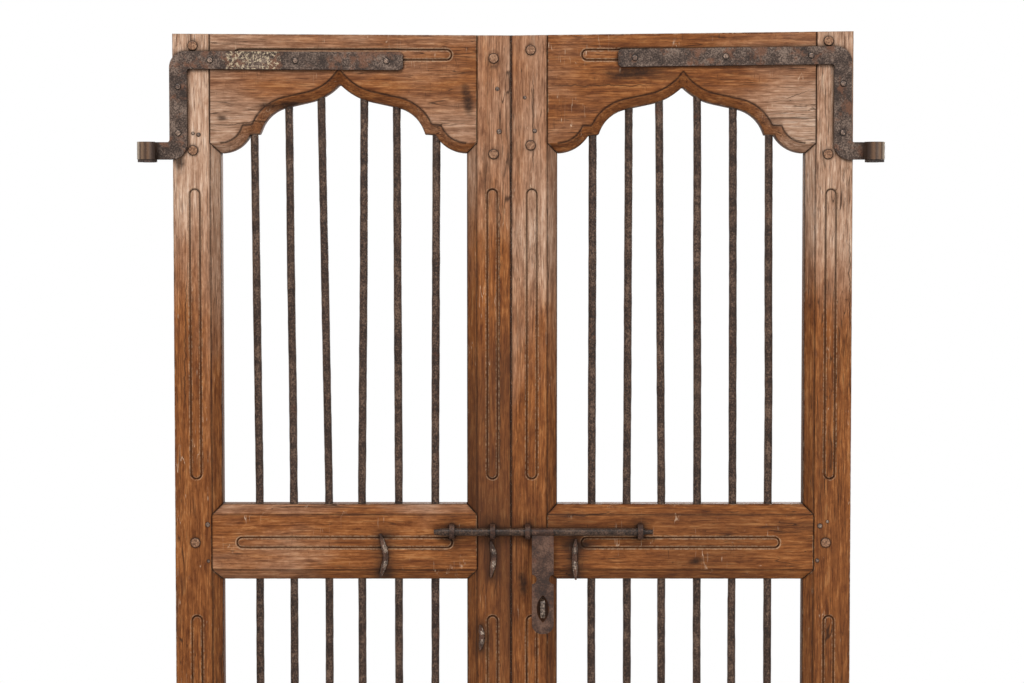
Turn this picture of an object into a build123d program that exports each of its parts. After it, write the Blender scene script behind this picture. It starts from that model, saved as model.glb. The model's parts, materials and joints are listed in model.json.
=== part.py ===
"""A pair of barred teak door leaves on wall pintles, with a sliding bolt and a hasp.

Millimetres, +Z up, +X to the right of the viewer, +Y away from the viewer. The origin is on the sill,
on the line where the leaves meet, in the middle of their thickness. Places across a leaf are given as
a distance from that meeting line, because the two leaves mirror each other.
"""

import os
from dataclasses import dataclass
from math import cos, radians, sin

from build123d import *

os.makedirs("parts", exist_ok=True)

# Both leaves
leaf_height = 1900
leaf_thickness = 45
meeting_gap = 0.8
meeting_bevel = 4
hinge_stile_face = 59.5
chamfer_width = 16
cut_overrun = 5

# What differs from leaf to leaf, because each was made by hand
left_leaf_width = 541
right_leaf_width = 547
left_meeting_face = 54.5
right_meeting_face = 58
left_top_rise = 3
right_top_rise = 7

# Rails
middle_rail_top = 1147
middle_rail_height = 122
bottom_rail_height = 150
tenon_length = 44
tenon_thickness = 15
tenon_shoulder = 12

# Cusped arch cut in the top rail: its rise as a share of the opening, its points as shares of half its
# span and of its rise
arch_spring_drop = 187
left_rise_share = 0.2785
right_rise_share = 0.2667
left_apex_share = 0.484
right_apex_share = 0.494
ogee_shares = (0.25, 0.255)
cove_shares = (0.45, 0.335)
cusp_shares = (0.67, 0.726)
ledge_width = 16.3
ledge_dip = 1

# Long oval grooves round a bead, on every stile and rail
bead_width = 18
bead_groove = 2.6
bead_groove_depth = 2.4
bead_inset = 25
bead_stile_gap = 50
left_bead_rail_gap = 40
right_bead_rail_gap = 55
top_bead_drop = 31
bottom_bead_height = 96

# Iron bars, which lean a little above the middle rail
bar_diameter = 13
bar_clearance = 0.2
bar_foot_depth = 35
bar_bend_rise = 25
bar_bend_radius = 1500
left_bar_foot_shares = (0.148, 0.289, 0.432, 0.569, 0.719, 0.868)
left_bar_head_shares = (0.133, 0.275, 0.407, 0.584, 0.714, 0.876)
right_bar_foot_shares = (0.140, 0.286, 0.428, 0.574, 0.715, 0.859)
right_bar_head_shares = (0.144, 0.290, 0.435, 0.589, 0.711, 0.857)

# Wooden pegs
peg_radius = 8
peg_clearance = 0.1
peg_inset = 27
peg_proud = 2.5
peg_round = 2
peg_strap_gap = 1
left_meeting_peg_drops = (36.5, 189)
right_meeting_peg_drops = (23, 175)
left_hinge_peg_drop = 183
right_hinge_peg_drop = 189
bottom_peg_height = 100

# Strap hinges with a rolled eye
strap_width = 28
strap_thickness = 5.5
strap_length = 373
strap_corner_radius = 26
strap_inner_radius = 4
strap_end_radius = 6
left_strap_drop = 28
right_strap_drop = 24
left_strap_overhang = 4.5
right_strap_overhang = -3
eye_drop = 184
eye_bore_radius = 11
left_eye_curl_angle = 235
right_eye_curl_angle = 270

# Strap nails, as shares of the arm along the rail and of the post down the stile
nail_shank_radius = 2.5
nail_head_radius = 5
nail_head_height = 2.6
nail_head_round = 2.2
nail_depth = 28
nail_clearance = 0.1
arm_nail_shares = (0.175, 0.54, 0.93)
post_nail_shares = (0.39, 0.9)

# Wall pintles
left_pintle_gap = 38.1
right_pintle_gap = 32.1
pin_clearance = 0.09
pin_crown = 0.3
pin_crown_round = 1.2
foot_radius = 15.5
foot_thickness = 4
seat_gap = 0.3
riser_gap = 1.5
riser_thickness = 8
riser_width = 18
tail_radius = 8
tail_flare = 3
tail_reach = 63.8
tail_point_length = 24
tail_point_depth = 5

# Sliding bolt
bolt_radius = 6.25
bolt_standoff = 11
bolt_lift = 18.5
bolt_reach = 124
bolt_tail_overhang = 20
bolt_tip_length = 14
bolt_tip_radius = 4
bolt_tang_length = 14
bolt_neck_radius = 4

# Bolt staples
staple_width = 8
staple_thickness = 5
staple_play = 0.25
staple_depth = 30
left_stile_staple_place = 29.5
left_rail_staple_place = 95
right_stile_staple_place = 27
right_rail_staple_bar_gap = 20.3125

# Hasp, hung on the neck of the bolt and resting just clear of its staple
hasp_place = 51
hasp_width = 35
hasp_thickness = 4
hasp_length = 163
hasp_rest_angle = 10
hasp_bore_play = 0.08
hasp_end_gap = 0.3
hasp_notch_radius = 7.5
hasp_notch_drop = 76
hasp_corner_radius = 16
hasp_slot_drop = 123
hasp_slot_height = 44
hasp_slot_width = 20

# Hasp staple, which the slot drops over
lock_staple_width = 7
lock_staple_height = 31
lock_staple_thickness = 5
lock_staple_standoff = 24
lock_staple_round = 7
lock_staple_depth = 30

# Split pins, clenched on the front and rolled to an eye at the back
split_pin_radius = 3.5
split_pin_leg_width = 8
split_pin_tip_width = 3
split_pin_leg_thickness = 3.5
split_pin_eye_radius = 9
split_pin_eye_bore = 5
split_pin_clearance = 0.1
split_pin_lowering = 23
split_pin_staple_gap = 5
left_rail_pin_bar_gap = 19.605
left_rail_pin_up_leg = 37
left_rail_pin_down_leg = 33
left_rail_pin_lean = 9
left_stile_pin_place = 27.5
left_stile_pin_down_leg = 33
left_stile_pin_lean = 5
left_lower_pin_place = 47
left_lower_pin_drop = 92
left_lower_pin_up_leg = 19
left_lower_pin_down_leg = 21
left_lower_pin_lean = 3
right_rail_pin_place = 102.5
right_rail_pin_up_leg = 29
right_rail_pin_down_leg = 37
right_rail_pin_lean = 2

front_y = -leaf_thickness / 2
back_y = leaf_thickness / 2
front_plane = Plane.XZ.offset(-front_y)
back_plane = Plane.XZ.offset(-back_y)

middle_rail_bottom = middle_rail_top - middle_rail_height
middle_rail_centre = middle_rail_top - middle_rail_height / 2
arch_spring = leaf_height - arch_spring_drop
inside_tenon = chamfer_width + tenon_shoulder
bottom_tenon = (tenon_shoulder, bottom_rail_height - inside_tenon)
middle_tenon = (middle_rail_bottom + inside_tenon, middle_rail_top - inside_tenon)
top_tenon = (arch_spring + inside_tenon, leaf_height - tenon_shoulder)

strap_front_plane = Plane.XZ.offset(strap_thickness - front_y)
eye_radius = eye_bore_radius + strap_thickness / 2
pintle_y = front_y - eye_bore_radius - strap_thickness
riser_front = front_y + riser_gap
riser_back = riser_front + riser_thickness
riser_plane = Plane.XZ.offset(-riser_front)
upper_eye = leaf_height - eye_drop
lower_eye = eye_drop

bolt_y = front_y - bolt_standoff
bolt_z = middle_rail_centre + bolt_lift
staple_bore_radius = bolt_radius + staple_play
staple_outer_radius = staple_bore_radius + staple_thickness
lock_staple_z = bolt_z - hasp_slot_drop
split_pin_z = middle_rail_centre - split_pin_lowering
left_lower_pin_z = middle_rail_bottom - left_lower_pin_drop
left_stile_pin_up_leg = bolt_z - staple_outer_radius - split_pin_staple_gap - split_pin_z


@dataclass
class SplitPin:
    """Where a split pin stands, how far its legs reach, and how far their tips lean to the hinge side."""

    place: float
    height: float
    up_leg: float
    down_leg: float
    lean: float


@dataclass
class Leaf:
    """What differs between the two leaves, and the places that follow from it."""

    name: str
    side: int
    width: float
    meeting_face: float
    top_rise: float
    rise_share: float
    apex_share: float
    bead_rail_gap: float
    bar_foot_shares: tuple
    bar_head_shares: tuple
    meeting_peg_drops: tuple
    hinge_peg_drop: float
    strap_drop: float
    strap_overhang: float
    eye_curl_angle: float
    pintle_gap: float
    bolt_staple_places: dict
    split_pins: dict

    def __post_init__(self):
        self.meeting_edge = meeting_gap / 2
        self.hinge_edge = self.meeting_edge + self.width
        self.hinge_joint = self.hinge_edge - hinge_stile_face
        self.meeting_joint = self.meeting_edge + self.meeting_face
        self.hinge_inner = self.hinge_joint - chamfer_width
        self.meeting_inner = self.meeting_joint + chamfer_width
        self.opening = self.hinge_inner - self.meeting_inner
        self.apex = self.across(self.apex_share)
        self.apex_z = arch_spring + self.rise_share * self.opening
        self.strap_outer = self.hinge_edge + self.strap_overhang
        self.strap_inner = self.strap_outer - strap_width
        self.pintle_place = self.hinge_edge + self.pintle_gap

    def across(self, share):
        """Place at a share of the opening, counted from the hinge stile."""
        return self.hinge_inner - share * self.opening

    def bar_foot(self, index):
        """Place of a bar in the middle rail."""
        return self.across(self.bar_foot_shares[index])

    def top(self, place):
        """Height of the top edge, which rises towards the hinges."""
        return leaf_height + self.top_rise * (place - self.meeting_edge) / self.width

    def flat(self, *points):
        """Points given as a place across the leaf and a height, for a sketch seen from the front."""
        return [(self.side * place, height) for place, height in points]

    def peg_points(self, level):
        hinge = self.strap_inner - peg_radius - peg_strap_gap
        meeting = self.meeting_joint - peg_inset
        past_strap = self.strap_drop - peg_radius - peg_strap_gap
        if level == "top":
            meeting_points = [(meeting, leaf_height - drop) for drop in self.meeting_peg_drops]
            hinge_points = [(hinge, self.top(hinge) - past_strap), (hinge, leaf_height - self.hinge_peg_drop)]
            return self.flat(*hinge_points, *meeting_points)
        if level == "middle":
            return self.flat((hinge, middle_rail_centre))
        bottom_heights = (past_strap, bottom_peg_height)
        return self.flat(*[(place, height) for place in (hinge, meeting) for height in bottom_heights])

    def nail_points(self, level):
        """Nails along the arm of the upper or lower strap, then down or up its post."""
        half_width = strap_width / 2
        post = self.strap_outer - half_width
        arm = [self.strap_outer - share * strap_length for share in arm_nail_shares]
        if level == "upper":
            arm_points = [(place, self.top(place) - self.strap_drop - half_width) for place in arm]
            start = self.top(post) - self.strap_drop
            end = upper_eye + half_width
        else:
            arm_points = [(place, self.strap_drop + half_width) for place in arm]
            start = self.strap_drop
            end = lower_eye - half_width
        post_points = [(post, start + share * (end - start)) for share in post_nail_shares]
        return self.flat(*arm_points, *post_points)


left = Leaf(
    name="left",
    side=-1,
    width=left_leaf_width,
    meeting_face=left_meeting_face,
    top_rise=left_top_rise,
    rise_share=left_rise_share,
    apex_share=left_apex_share,
    bead_rail_gap=left_bead_rail_gap,
    bar_foot_shares=left_bar_foot_shares,
    bar_head_shares=left_bar_head_shares,
    meeting_peg_drops=left_meeting_peg_drops,
    hinge_peg_drop=left_hinge_peg_drop,
    strap_drop=left_strap_drop,
    strap_overhang=left_strap_overhang,
    eye_curl_angle=left_eye_curl_angle,
    pintle_gap=left_pintle_gap,
    bolt_staple_places={
        "left_rail_staple": left_rail_staple_place,
        "left_stile_staple": left_stile_staple_place,
    },
    split_pins={
        "left_stile_split_pin": SplitPin(
            left_stile_pin_place,
            split_pin_z,
            left_stile_pin_up_leg,
            left_stile_pin_down_leg,
            left_stile_pin_lean,
        ),
        "left_lower_split_pin": SplitPin(
            left_lower_pin_place,
            left_lower_pin_z,
            left_lower_pin_up_leg,
            left_lower_pin_down_leg,
            left_lower_pin_lean,
        ),
    },
)
right = Leaf(
    name="right",
    side=1,
    width=right_leaf_width,
    meeting_face=right_meeting_face,
    top_rise=right_top_rise,
    rise_share=right_rise_share,
    apex_share=right_apex_share,
    bead_rail_gap=right_bead_rail_gap,
    bar_foot_shares=right_bar_foot_shares,
    bar_head_shares=right_bar_head_shares,
    meeting_peg_drops=right_meeting_peg_drops,
    hinge_peg_drop=right_hinge_peg_drop,
    strap_drop=right_strap_drop,
    strap_overhang=right_strap_overhang,
    eye_curl_angle=right_eye_curl_angle,
    pintle_gap=right_pintle_gap,
    bolt_staple_places={
        "right_stile_staple": right_stile_staple_place,
    },
    split_pins={
        "right_rail_split_pin": SplitPin(
            right_rail_pin_place,
            split_pin_z,
            right_rail_pin_up_leg,
            right_rail_pin_down_leg,
            right_rail_pin_lean,
        ),
    },
)

# Fixings that pass between two bars in the middle rail, beside the fifth bar
left.split_pins["left_rail_split_pin"] = SplitPin(
    left.bar_foot(4) + left_rail_pin_bar_gap,
    split_pin_z,
    left_rail_pin_up_leg,
    left_rail_pin_down_leg,
    left_rail_pin_lean,
)
right_rail_staple_place = right.bar_foot(4) + right_rail_staple_bar_gap
right.bolt_staple_places["right_rail_staple"] = right_rail_staple_place
bolt_tail = right_rail_staple_place + bolt_tail_overhang


def save(part, name):
    part.label = name
    export_step(part, f"parts/{name}.step")


def cut_tenon(leaf, joint, low, high, mode):
    """The tenon block at one joint line, added to a rail or cut from a stile as its mortise."""
    reach = tenon_length if joint == leaf.hinge_joint else -tenon_length
    with BuildSketch(Plane.XZ) as tenon:
        with BuildLine():
            corners = leaf.flat((joint, low), (joint, high), (joint + reach, high), (joint + reach, low))
            Polyline(*corners, close=True)
        make_face()
    extrude(tenon.sketch, amount=tenon_thickness / 2, both=True, mode=mode)


def cut_prism(leaf, *points):
    """Cut a prism with this outline through the whole thickness."""
    with BuildSketch(back_plane) as outline:
        with BuildLine():
            Polyline(*leaf.flat(*points), close=True)
        make_face()
    extrude(outline.sketch, amount=leaf_thickness, mode=Mode.SUBTRACT)


def cut_bead(leaf, place, height, length, turn):
    """The stopped groove that runs round a long bead with round ends."""
    with BuildSketch(front_plane) as groove:
        with Locations(*leaf.flat((place, height))):
            SlotOverall(length, bead_width, rotation=turn)
            inner_length = length - 2 * bead_groove
            inner_width = bead_width - 2 * bead_groove
            SlotOverall(inner_length, inner_width, rotation=turn, mode=Mode.SUBTRACT)
    extrude(groove.sketch, amount=-bead_groove_depth, mode=Mode.SUBTRACT)


def cut_fastener_holes(leaf):
    """Holes for every peg, nail, staple and split pin of the leaf."""
    with BuildSketch(front_plane) as through_holes:
        for level in ("top", "middle", "bottom"):
            with Locations(*leaf.peg_points(level)):
                Circle(peg_radius + peg_clearance)
        with Locations(*leaf.flat(*[(pin.place, pin.height) for pin in leaf.split_pins.values()])):
            Circle(split_pin_radius + split_pin_clearance)
    extrude(through_holes.sketch, amount=-leaf_thickness, mode=Mode.SUBTRACT)
    with BuildSketch(front_plane) as nail_holes:
        for level in ("upper", "lower"):
            with Locations(*leaf.nail_points(level)):
                Circle(nail_shank_radius + nail_clearance)
    extrude(nail_holes.sketch, amount=-nail_depth, mode=Mode.SUBTRACT)
    with BuildSketch(front_plane) as staple_holes:
        leg_offset = staple_bore_radius + staple_thickness / 2
        for place in leaf.bolt_staple_places.values():
            with Locations(*leaf.flat((place, bolt_z - leg_offset), (place, bolt_z + leg_offset))):
                Rectangle(staple_width, staple_thickness)
    extrude(staple_holes.sketch, amount=-staple_depth, mode=Mode.SUBTRACT)


def cut_lock_staple_holes():
    leg_offset = (lock_staple_height - lock_staple_thickness) / 2
    with BuildSketch(front_plane) as holes:
        with Locations((hasp_place, lock_staple_z - leg_offset), (hasp_place, lock_staple_z + leg_offset)):
            Rectangle(lock_staple_width, lock_staple_thickness)
    extrude(holes.sketch, amount=-lock_staple_depth, mode=Mode.SUBTRACT)


def add_bar(leaf, index, radius, mode):
    """One bar, plumb up to just above the middle rail and leaning from there to the top rail."""
    foot = leaf.side * leaf.bar_foot(index)
    head = leaf.side * leaf.across(leaf.bar_head_shares[index])
    foot_z = bottom_rail_height - bar_foot_depth
    bend_z = middle_rail_top + bar_bend_rise
    with BuildLine() as path:
        FilletPolyline((foot, 0, foot_z), (foot, 0, bend_z), (head, 0, leaf.apex_z), radius=bar_bend_radius)
    with BuildSketch(Plane.XY.offset(foot_z)) as section:
        with Locations((foot, 0)):
            Circle(radius)
    sweep(section.sketch, path=path.line, mode=mode)


def cut_bar_holes(leaf):
    for index in range(len(leaf.bar_foot_shares)):
        add_bar(leaf, index, bar_diameter / 2 + bar_clearance, Mode.SUBTRACT)


def make_stile(leaf, name, edge, joint, inner, bevel):
    """A stile from its section: square at the back, chamfered on the front towards the opening."""
    into_leaf = 1 if inner > edge else -1
    low_notch = ((joint, 0), (inner, 0), (inner, bottom_rail_height))
    high_notch = ((inner, arch_spring), (inner, leaf.top(inner)), (joint, leaf.top(joint)))
    with BuildPart() as stile:
        with BuildSketch(Plane.XY):
            with BuildLine():
                section = (
                    (edge, front_y),
                    (joint, front_y),
                    (inner, front_y + chamfer_width),
                    (inner, back_y),
                    (edge + into_leaf * bevel, back_y),
                )
                Polyline(*leaf.flat(*section), close=True)
            make_face()
        tallest = max(leaf.top(edge), leaf.top(inner))
        extrude(amount=tallest)
        slope = ((edge, leaf.top(edge)), (inner, leaf.top(inner)), (inner, tallest + cut_overrun))
        cut_prism(leaf, *slope, (edge, tallest + cut_overrun))
        cut_prism(leaf, *low_notch, (joint, bottom_rail_height - chamfer_width))
        cut_prism(
            leaf,
            (joint, middle_rail_bottom + chamfer_width),
            (inner, middle_rail_bottom),
            (inner, middle_rail_top),
            (joint, middle_rail_top - chamfer_width),
        )
        cut_prism(leaf, (joint, arch_spring + chamfer_width), *high_notch)
        for low, high in (bottom_tenon, middle_tenon, top_tenon):
            cut_tenon(leaf, joint, low, high, Mode.SUBTRACT)
        bead_place = joint - into_leaf * bead_inset
        for low, high in ((bottom_rail_height, middle_rail_bottom), (middle_rail_top, arch_spring)):
            cut_bead(leaf, bead_place, (low + high) / 2, high - low - 2 * bead_stile_gap, 90)
        cut_fastener_holes(leaf)
        if leaf is right:
            cut_lock_staple_holes()
    save(stile.part, name)


def mitre_rail(leaf, low, high):
    """Mitre the chamfers at both ends of a rail that runs from joint line to joint line."""
    for joint, inner in ((leaf.hinge_joint, leaf.hinge_inner), (leaf.meeting_joint, leaf.meeting_inner)):
        if low > 0:
            cut_prism(leaf, (joint, low), (inner, low), (joint, low + chamfer_width))
        if high < leaf_height:
            cut_prism(leaf, (joint, high), (inner, high), (joint, high - chamfer_width))


def add_tenons(leaf, low, high):
    for joint in (leaf.hinge_joint, leaf.meeting_joint):
        cut_tenon(leaf, joint, low, high, Mode.ADD)


def make_straight_rail(leaf, name, low, high, tenon, bead_z):
    """A rail from its section, chamfered on the front along each edge that faces an opening."""
    front_corners = [(front_y, low)]
    if low > 0:
        front_corners = [(front_y + chamfer_width, low), (front_y, low + chamfer_width)]
    with BuildPart() as rail:
        with BuildSketch(Plane.YZ.offset(leaf.side * leaf.meeting_joint)):
            with BuildLine():
                section = (
                    *front_corners,
                    (front_y, high - chamfer_width),
                    (front_y + chamfer_width, high),
                    (back_y, high),
                    (back_y, low),
                )
                Polyline(*section, close=True)
            make_face()
        rail_length = leaf.hinge_joint - leaf.meeting_joint
        extrude(amount=leaf.side * rail_length)
        mitre_rail(leaf, low, high)
        add_tenons(leaf, *tenon)
        middle = (leaf.hinge_joint + leaf.meeting_joint) / 2
        cut_bead(leaf, middle, bead_z, rail_length - 2 * leaf.bead_rail_gap, 0)
        cut_bar_holes(leaf)
        cut_fastener_holes(leaf)
    save(rail.part, name)


def half_arch(leaf, inner):
    """Half of the arch's edge from its springing to the apex: lobe, ledge, cusp, cove, run and ogee."""
    span = inner - leaf.apex
    rise = leaf.apex_z - arch_spring

    def point(shares):
        across, down = shares
        return leaf.side * (leaf.apex + across * span), leaf.apex_z - down * rise

    springing = (leaf.side * inner, arch_spring)
    apex = (leaf.side * leaf.apex, leaf.apex_z)
    outward = leaf.side if inner > leaf.apex else -leaf.side
    cusp_x, cusp_z = point(cusp_shares)
    cusp = (cusp_x, cusp_z)
    ledge = (cusp_x + outward * ledge_width, cusp_z - ledge_dip)
    TangentArc(springing, ledge, tangent=(-outward, 0))
    Line(ledge, cusp)
    run = Line(point(cove_shares), point(ogee_shares))
    TangentArc(point(cove_shares), cusp, tangent=(run % 0) * -1)
    TangentArc(point(ogee_shares), apex, tangent=run % 1)


def make_top_rail(leaf):
    """The arched rail: its outline is cut out whole, chamfered along the arch and mitred at the ends."""
    past_hinge = leaf.hinge_joint + cut_overrun
    past_meeting = leaf.meeting_joint - cut_overrun
    with BuildPart() as rail:
        with BuildSketch(back_plane):
            with BuildLine():
                half_arch(leaf, leaf.hinge_inner)
                half_arch(leaf, leaf.meeting_inner)
                outline = (
                    (leaf.hinge_inner, arch_spring),
                    (past_hinge, arch_spring),
                    (past_hinge, leaf.top(past_hinge)),
                    (past_meeting, leaf.top(past_meeting)),
                    (past_meeting, arch_spring),
                    (leaf.meeting_inner, arch_spring),
                )
                Polyline(*leaf.flat(*outline))
            make_face()
        extrude(amount=leaf_thickness)
        low_front = rail.edges().group_by(Axis.Y)[0].filter_by(lambda edge: edge.center().Z < leaf.apex_z)
        arch_edges = low_front.filter_by(Axis.Z, reverse=True)
        chamfer(arch_edges, chamfer_width)
        for joint, past in ((leaf.hinge_joint, past_hinge), (leaf.meeting_joint, past_meeting)):
            over = leaf_height + leaf.top_rise + cut_overrun
            cut_prism(leaf, (joint, arch_spring), (past, arch_spring), (past, over), (joint, over))
        mitre_rail(leaf, arch_spring, leaf_height)
        add_tenons(leaf, *top_tenon)
        middle = (leaf.hinge_joint + leaf.meeting_joint) / 2
        rail_length = leaf.hinge_joint - leaf.meeting_joint
        cut_bead(leaf, middle, leaf_height - top_bead_drop, rail_length - 2 * leaf.bead_rail_gap, 0)
        cut_bar_holes(leaf)
        cut_fastener_holes(leaf)
    save(rail.part, f"{leaf.name}_top_rail")


def make_bars(leaf):
    for index in range(len(leaf.bar_foot_shares)):
        with BuildPart() as bar:
            add_bar(leaf, index, bar_diameter / 2, Mode.ADD)
        save(bar.part, f"{leaf.name}_bar_{index + 1}")


def make_pegs(leaf, level):
    """Pegs driven right through, with a rounded end that stands proud of the front."""
    with BuildPart() as pegs:
        with BuildSketch(back_plane):
            with Locations(*leaf.peg_points(level)):
                Circle(peg_radius)
        extrude(amount=leaf_thickness + peg_proud)
        fillet(pegs.edges().filter_by(GeomType.CIRCLE).group_by(Axis.Y)[0], peg_round)
    save(pegs.part, f"{leaf.name}_{level}_pegs")


def make_strap(leaf, level):
    """An L of flat iron, with an arm along the rail, a post on the stile and a rolled eye."""
    half_width = strap_width / 2
    outer = leaf.strap_outer
    inner = leaf.strap_inner
    end = outer - strap_length
    if level == "upper":
        eye = upper_eye
        near_edge = {place: leaf.top(place) - leaf.strap_drop for place in (outer, inner, end)}
        across_arm = -strap_width
        beyond_eye = eye - half_width
        before_eye = eye + half_width
    else:
        eye = lower_eye
        near_edge = {place: leaf.strap_drop for place in (outer, inner, end)}
        across_arm = strap_width
        beyond_eye = eye + half_width
        before_eye = eye - half_width
    corners = (
        (leaf.pintle_place, before_eye),
        (outer, before_eye),
        (outer, near_edge[outer]),
        (end, near_edge[end]),
        (end, near_edge[end] + across_arm),
        (inner, near_edge[inner] + across_arm),
        (inner, beyond_eye),
        (leaf.pintle_place, beyond_eye),
    )
    corner_radii = (
        strap_inner_radius,
        strap_corner_radius,
        strap_end_radius,
        strap_end_radius,
        strap_inner_radius,
        strap_corner_radius,
    )
    with BuildPart() as strap:
        with BuildSketch(front_plane):
            with BuildLine() as outline:
                FilletPolyline(*leaf.flat(*corners), radius=corner_radii)
                Line(outline.line @ 1, outline.line @ 0)
            make_face()
        extrude(amount=strap_thickness)
        with BuildSketch(Plane.XY.offset(eye - half_width)):
            with BuildLine():
                centre = (leaf.side * leaf.pintle_place, pintle_y)
                CenterArc(centre, eye_radius, 90, -leaf.side * leaf.eye_curl_angle)
            trace(line_width=strap_thickness)
        extrude(amount=strap_width)
        with BuildSketch(front_plane):
            with Locations(*leaf.nail_points(level)):
                Circle(nail_shank_radius + nail_clearance)
        extrude(amount=strap_thickness, mode=Mode.SUBTRACT)
    save(strap.part, f"{leaf.name}_{level}_strap")


def make_strap_nails(leaf, level):
    with BuildPart() as nails:
        with BuildSketch(strap_front_plane):
            with Locations(*leaf.nail_points(level)):
                Circle(nail_head_radius)
        extrude(amount=nail_head_height)
        fillet(nails.edges().filter_by(GeomType.CIRCLE).group_by(Axis.Y)[0], nail_head_round)
        with BuildSketch(strap_front_plane):
            with Locations(*leaf.nail_points(level)):
                Circle(nail_shank_radius)
        extrude(amount=-strap_thickness - nail_depth)
    save(nails.part, f"{leaf.name}_{level}_strap_nails")


def make_bolt_staple(leaf, name, place):
    """A flat iron staple bent round the bolt and driven into the leaf."""
    leg_end = front_y + staple_depth
    leg_middle = (bolt_y + leg_end) / 2
    with BuildPart() as staple:
        with BuildSketch(Plane.YZ.offset(leaf.side * place - staple_width / 2)):
            with Locations((bolt_y, bolt_z)):
                Circle(staple_outer_radius)
            with Locations((leg_middle, bolt_z)):
                Rectangle(leg_end - bolt_y, 2 * staple_outer_radius)
                Rectangle(leg_end - bolt_y, 2 * staple_bore_radius, mode=Mode.SUBTRACT)
            with Locations((bolt_y, bolt_z)):
                Circle(staple_bore_radius, mode=Mode.SUBTRACT)
        extrude(amount=staple_width)
    save(staple.part, name)


def make_lock_staple():
    """The tall loop that the hasp drops over and a padlock closes."""
    crown = front_y - lock_staple_standoff
    leg_end = front_y + lock_staple_depth
    inner_height = lock_staple_height - 2 * lock_staple_thickness
    inner_crown = crown + lock_staple_thickness
    with BuildPart() as staple:
        with BuildSketch(Plane.YZ.offset(hasp_place - lock_staple_width / 2)) as loop:
            with Locations(((crown + leg_end) / 2, lock_staple_z)):
                Rectangle(leg_end - crown, lock_staple_height)
            fillet(loop.vertices().group_by(Axis.X)[0], lock_staple_round)
            with Locations(((inner_crown + leg_end) / 2, lock_staple_z)):
                Rectangle(leg_end - inner_crown, inner_height, mode=Mode.SUBTRACT)
        extrude(amount=lock_staple_width)
    save(staple.part, "hasp_staple")


def make_split_pin(leaf, name, pin):
    """A pin with its two legs opened up and down on the front, and its eye at the back."""
    half_root = split_pin_leg_width / 2
    half_tip = split_pin_tip_width / 2
    eye_y = back_y + split_pin_eye_radius
    tip = pin.place + pin.lean
    with BuildPart() as split_pin:
        with BuildSketch(front_plane):
            for tip_z in (pin.height + pin.up_leg, pin.height - pin.down_leg):
                with BuildLine():
                    corners = (
                        (pin.place - half_root, pin.height),
                        (pin.place + half_root, pin.height),
                        (tip + half_tip, tip_z),
                        (tip - half_tip, tip_z),
                    )
                    Polyline(*leaf.flat(*corners), close=True)
                make_face()
            with Locations(*leaf.flat((pin.place, pin.height))):
                Circle(half_root)
        extrude(amount=split_pin_leg_thickness)
        with BuildSketch(front_plane):
            with Locations(*leaf.flat((pin.place, pin.height))):
                Circle(split_pin_radius)
        extrude(amount=-leaf_thickness - split_pin_eye_radius + split_pin_eye_bore)
        with BuildSketch(Plane.YZ.offset(leaf.side * pin.place - split_pin_radius)):
            with Locations((eye_y, pin.height)):
                Circle(split_pin_eye_radius)
                Circle(split_pin_eye_bore, mode=Mode.SUBTRACT)
        extrude(amount=2 * split_pin_radius)
    save(split_pin.part, name)


def make_pintle(leaf, level, eye):
    """A pin on a flat foot, cranked up behind the eye to a round tail that runs back into the wall."""
    seat = eye - strap_width / 2 - seat_gap
    foot_base = seat - foot_thickness
    pin_x = leaf.side * leaf.pintle_place
    with BuildPart() as pintle:
        with BuildSketch(Plane.XY.offset(seat)):
            with Locations((pin_x, pintle_y)):
                Circle(eye_bore_radius - pin_clearance)
        extrude(amount=strap_width + pin_crown)
        fillet(pintle.edges().group_by(Axis.Z)[-1], pin_crown_round)
        with BuildSketch(Plane.XY.offset(foot_base)):
            with Locations((pin_x, pintle_y)):
                Circle(foot_radius)
            with Locations((pin_x, (pintle_y + riser_back) / 2)):
                Rectangle(riser_width, riser_back - pintle_y)
        extrude(amount=foot_thickness)
        riser_top = eye + riser_width / 2
        with BuildSketch(riser_plane):
            with Locations((pin_x, (foot_base + riser_top) / 2)):
                Rectangle(riser_width, riser_top - foot_base)
        extrude(amount=-riser_thickness)
        tail_root = Plane(origin=(pin_x, riser_back, eye), x_dir=(1, 0, 0), z_dir=(0, 1, 0))
        from_root = (Align.CENTER, Align.CENTER, Align.MIN)
        with Locations(tail_root):
            Cone(riser_width / 2, tail_radius, tail_flare, align=from_root)
            Cylinder(tail_radius, tail_reach - riser_back, align=from_root)
        tail_end = pintle.edges().group_by(Axis.Y)[-1]
        chamfer(tail_end, tail_point_length, tail_point_depth)
    save(pintle.part, f"{leaf.name}_{level}_pintle")


def make_bolt():
    """The round bolt, turned down to a neck for the hasp and to a tang at its free end."""
    neck_start = hasp_place - hasp_width / 2 - hasp_end_gap
    neck_end = hasp_place + hasp_width / 2 + hasp_end_gap
    tang_start = bolt_tail - bolt_tang_length
    along_bolt = Plane((0, bolt_y, bolt_z), x_dir=(1, 0, 0), z_dir=(0, -1, 0))
    with BuildPart() as bolt:
        with BuildSketch(along_bolt):
            with BuildLine():
                Polyline(
                    (-bolt_reach, 0),
                    (-bolt_reach, bolt_tip_radius),
                    (bolt_tip_length - bolt_reach, bolt_radius),
                    (neck_start, bolt_radius),
                    (neck_start, bolt_neck_radius),
                    (neck_end, bolt_neck_radius),
                    (neck_end, bolt_radius),
                    (tang_start, bolt_radius),
                    (tang_start, bolt_neck_radius),
                    (bolt_tail, bolt_neck_radius),
                    (bolt_tail, 0),
                    close=True,
                )
            make_face()
        revolve(axis=Axis((0, bolt_y, bolt_z), (1, 0, 0)))
    save(bolt.part, "bolt_rod")


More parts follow.
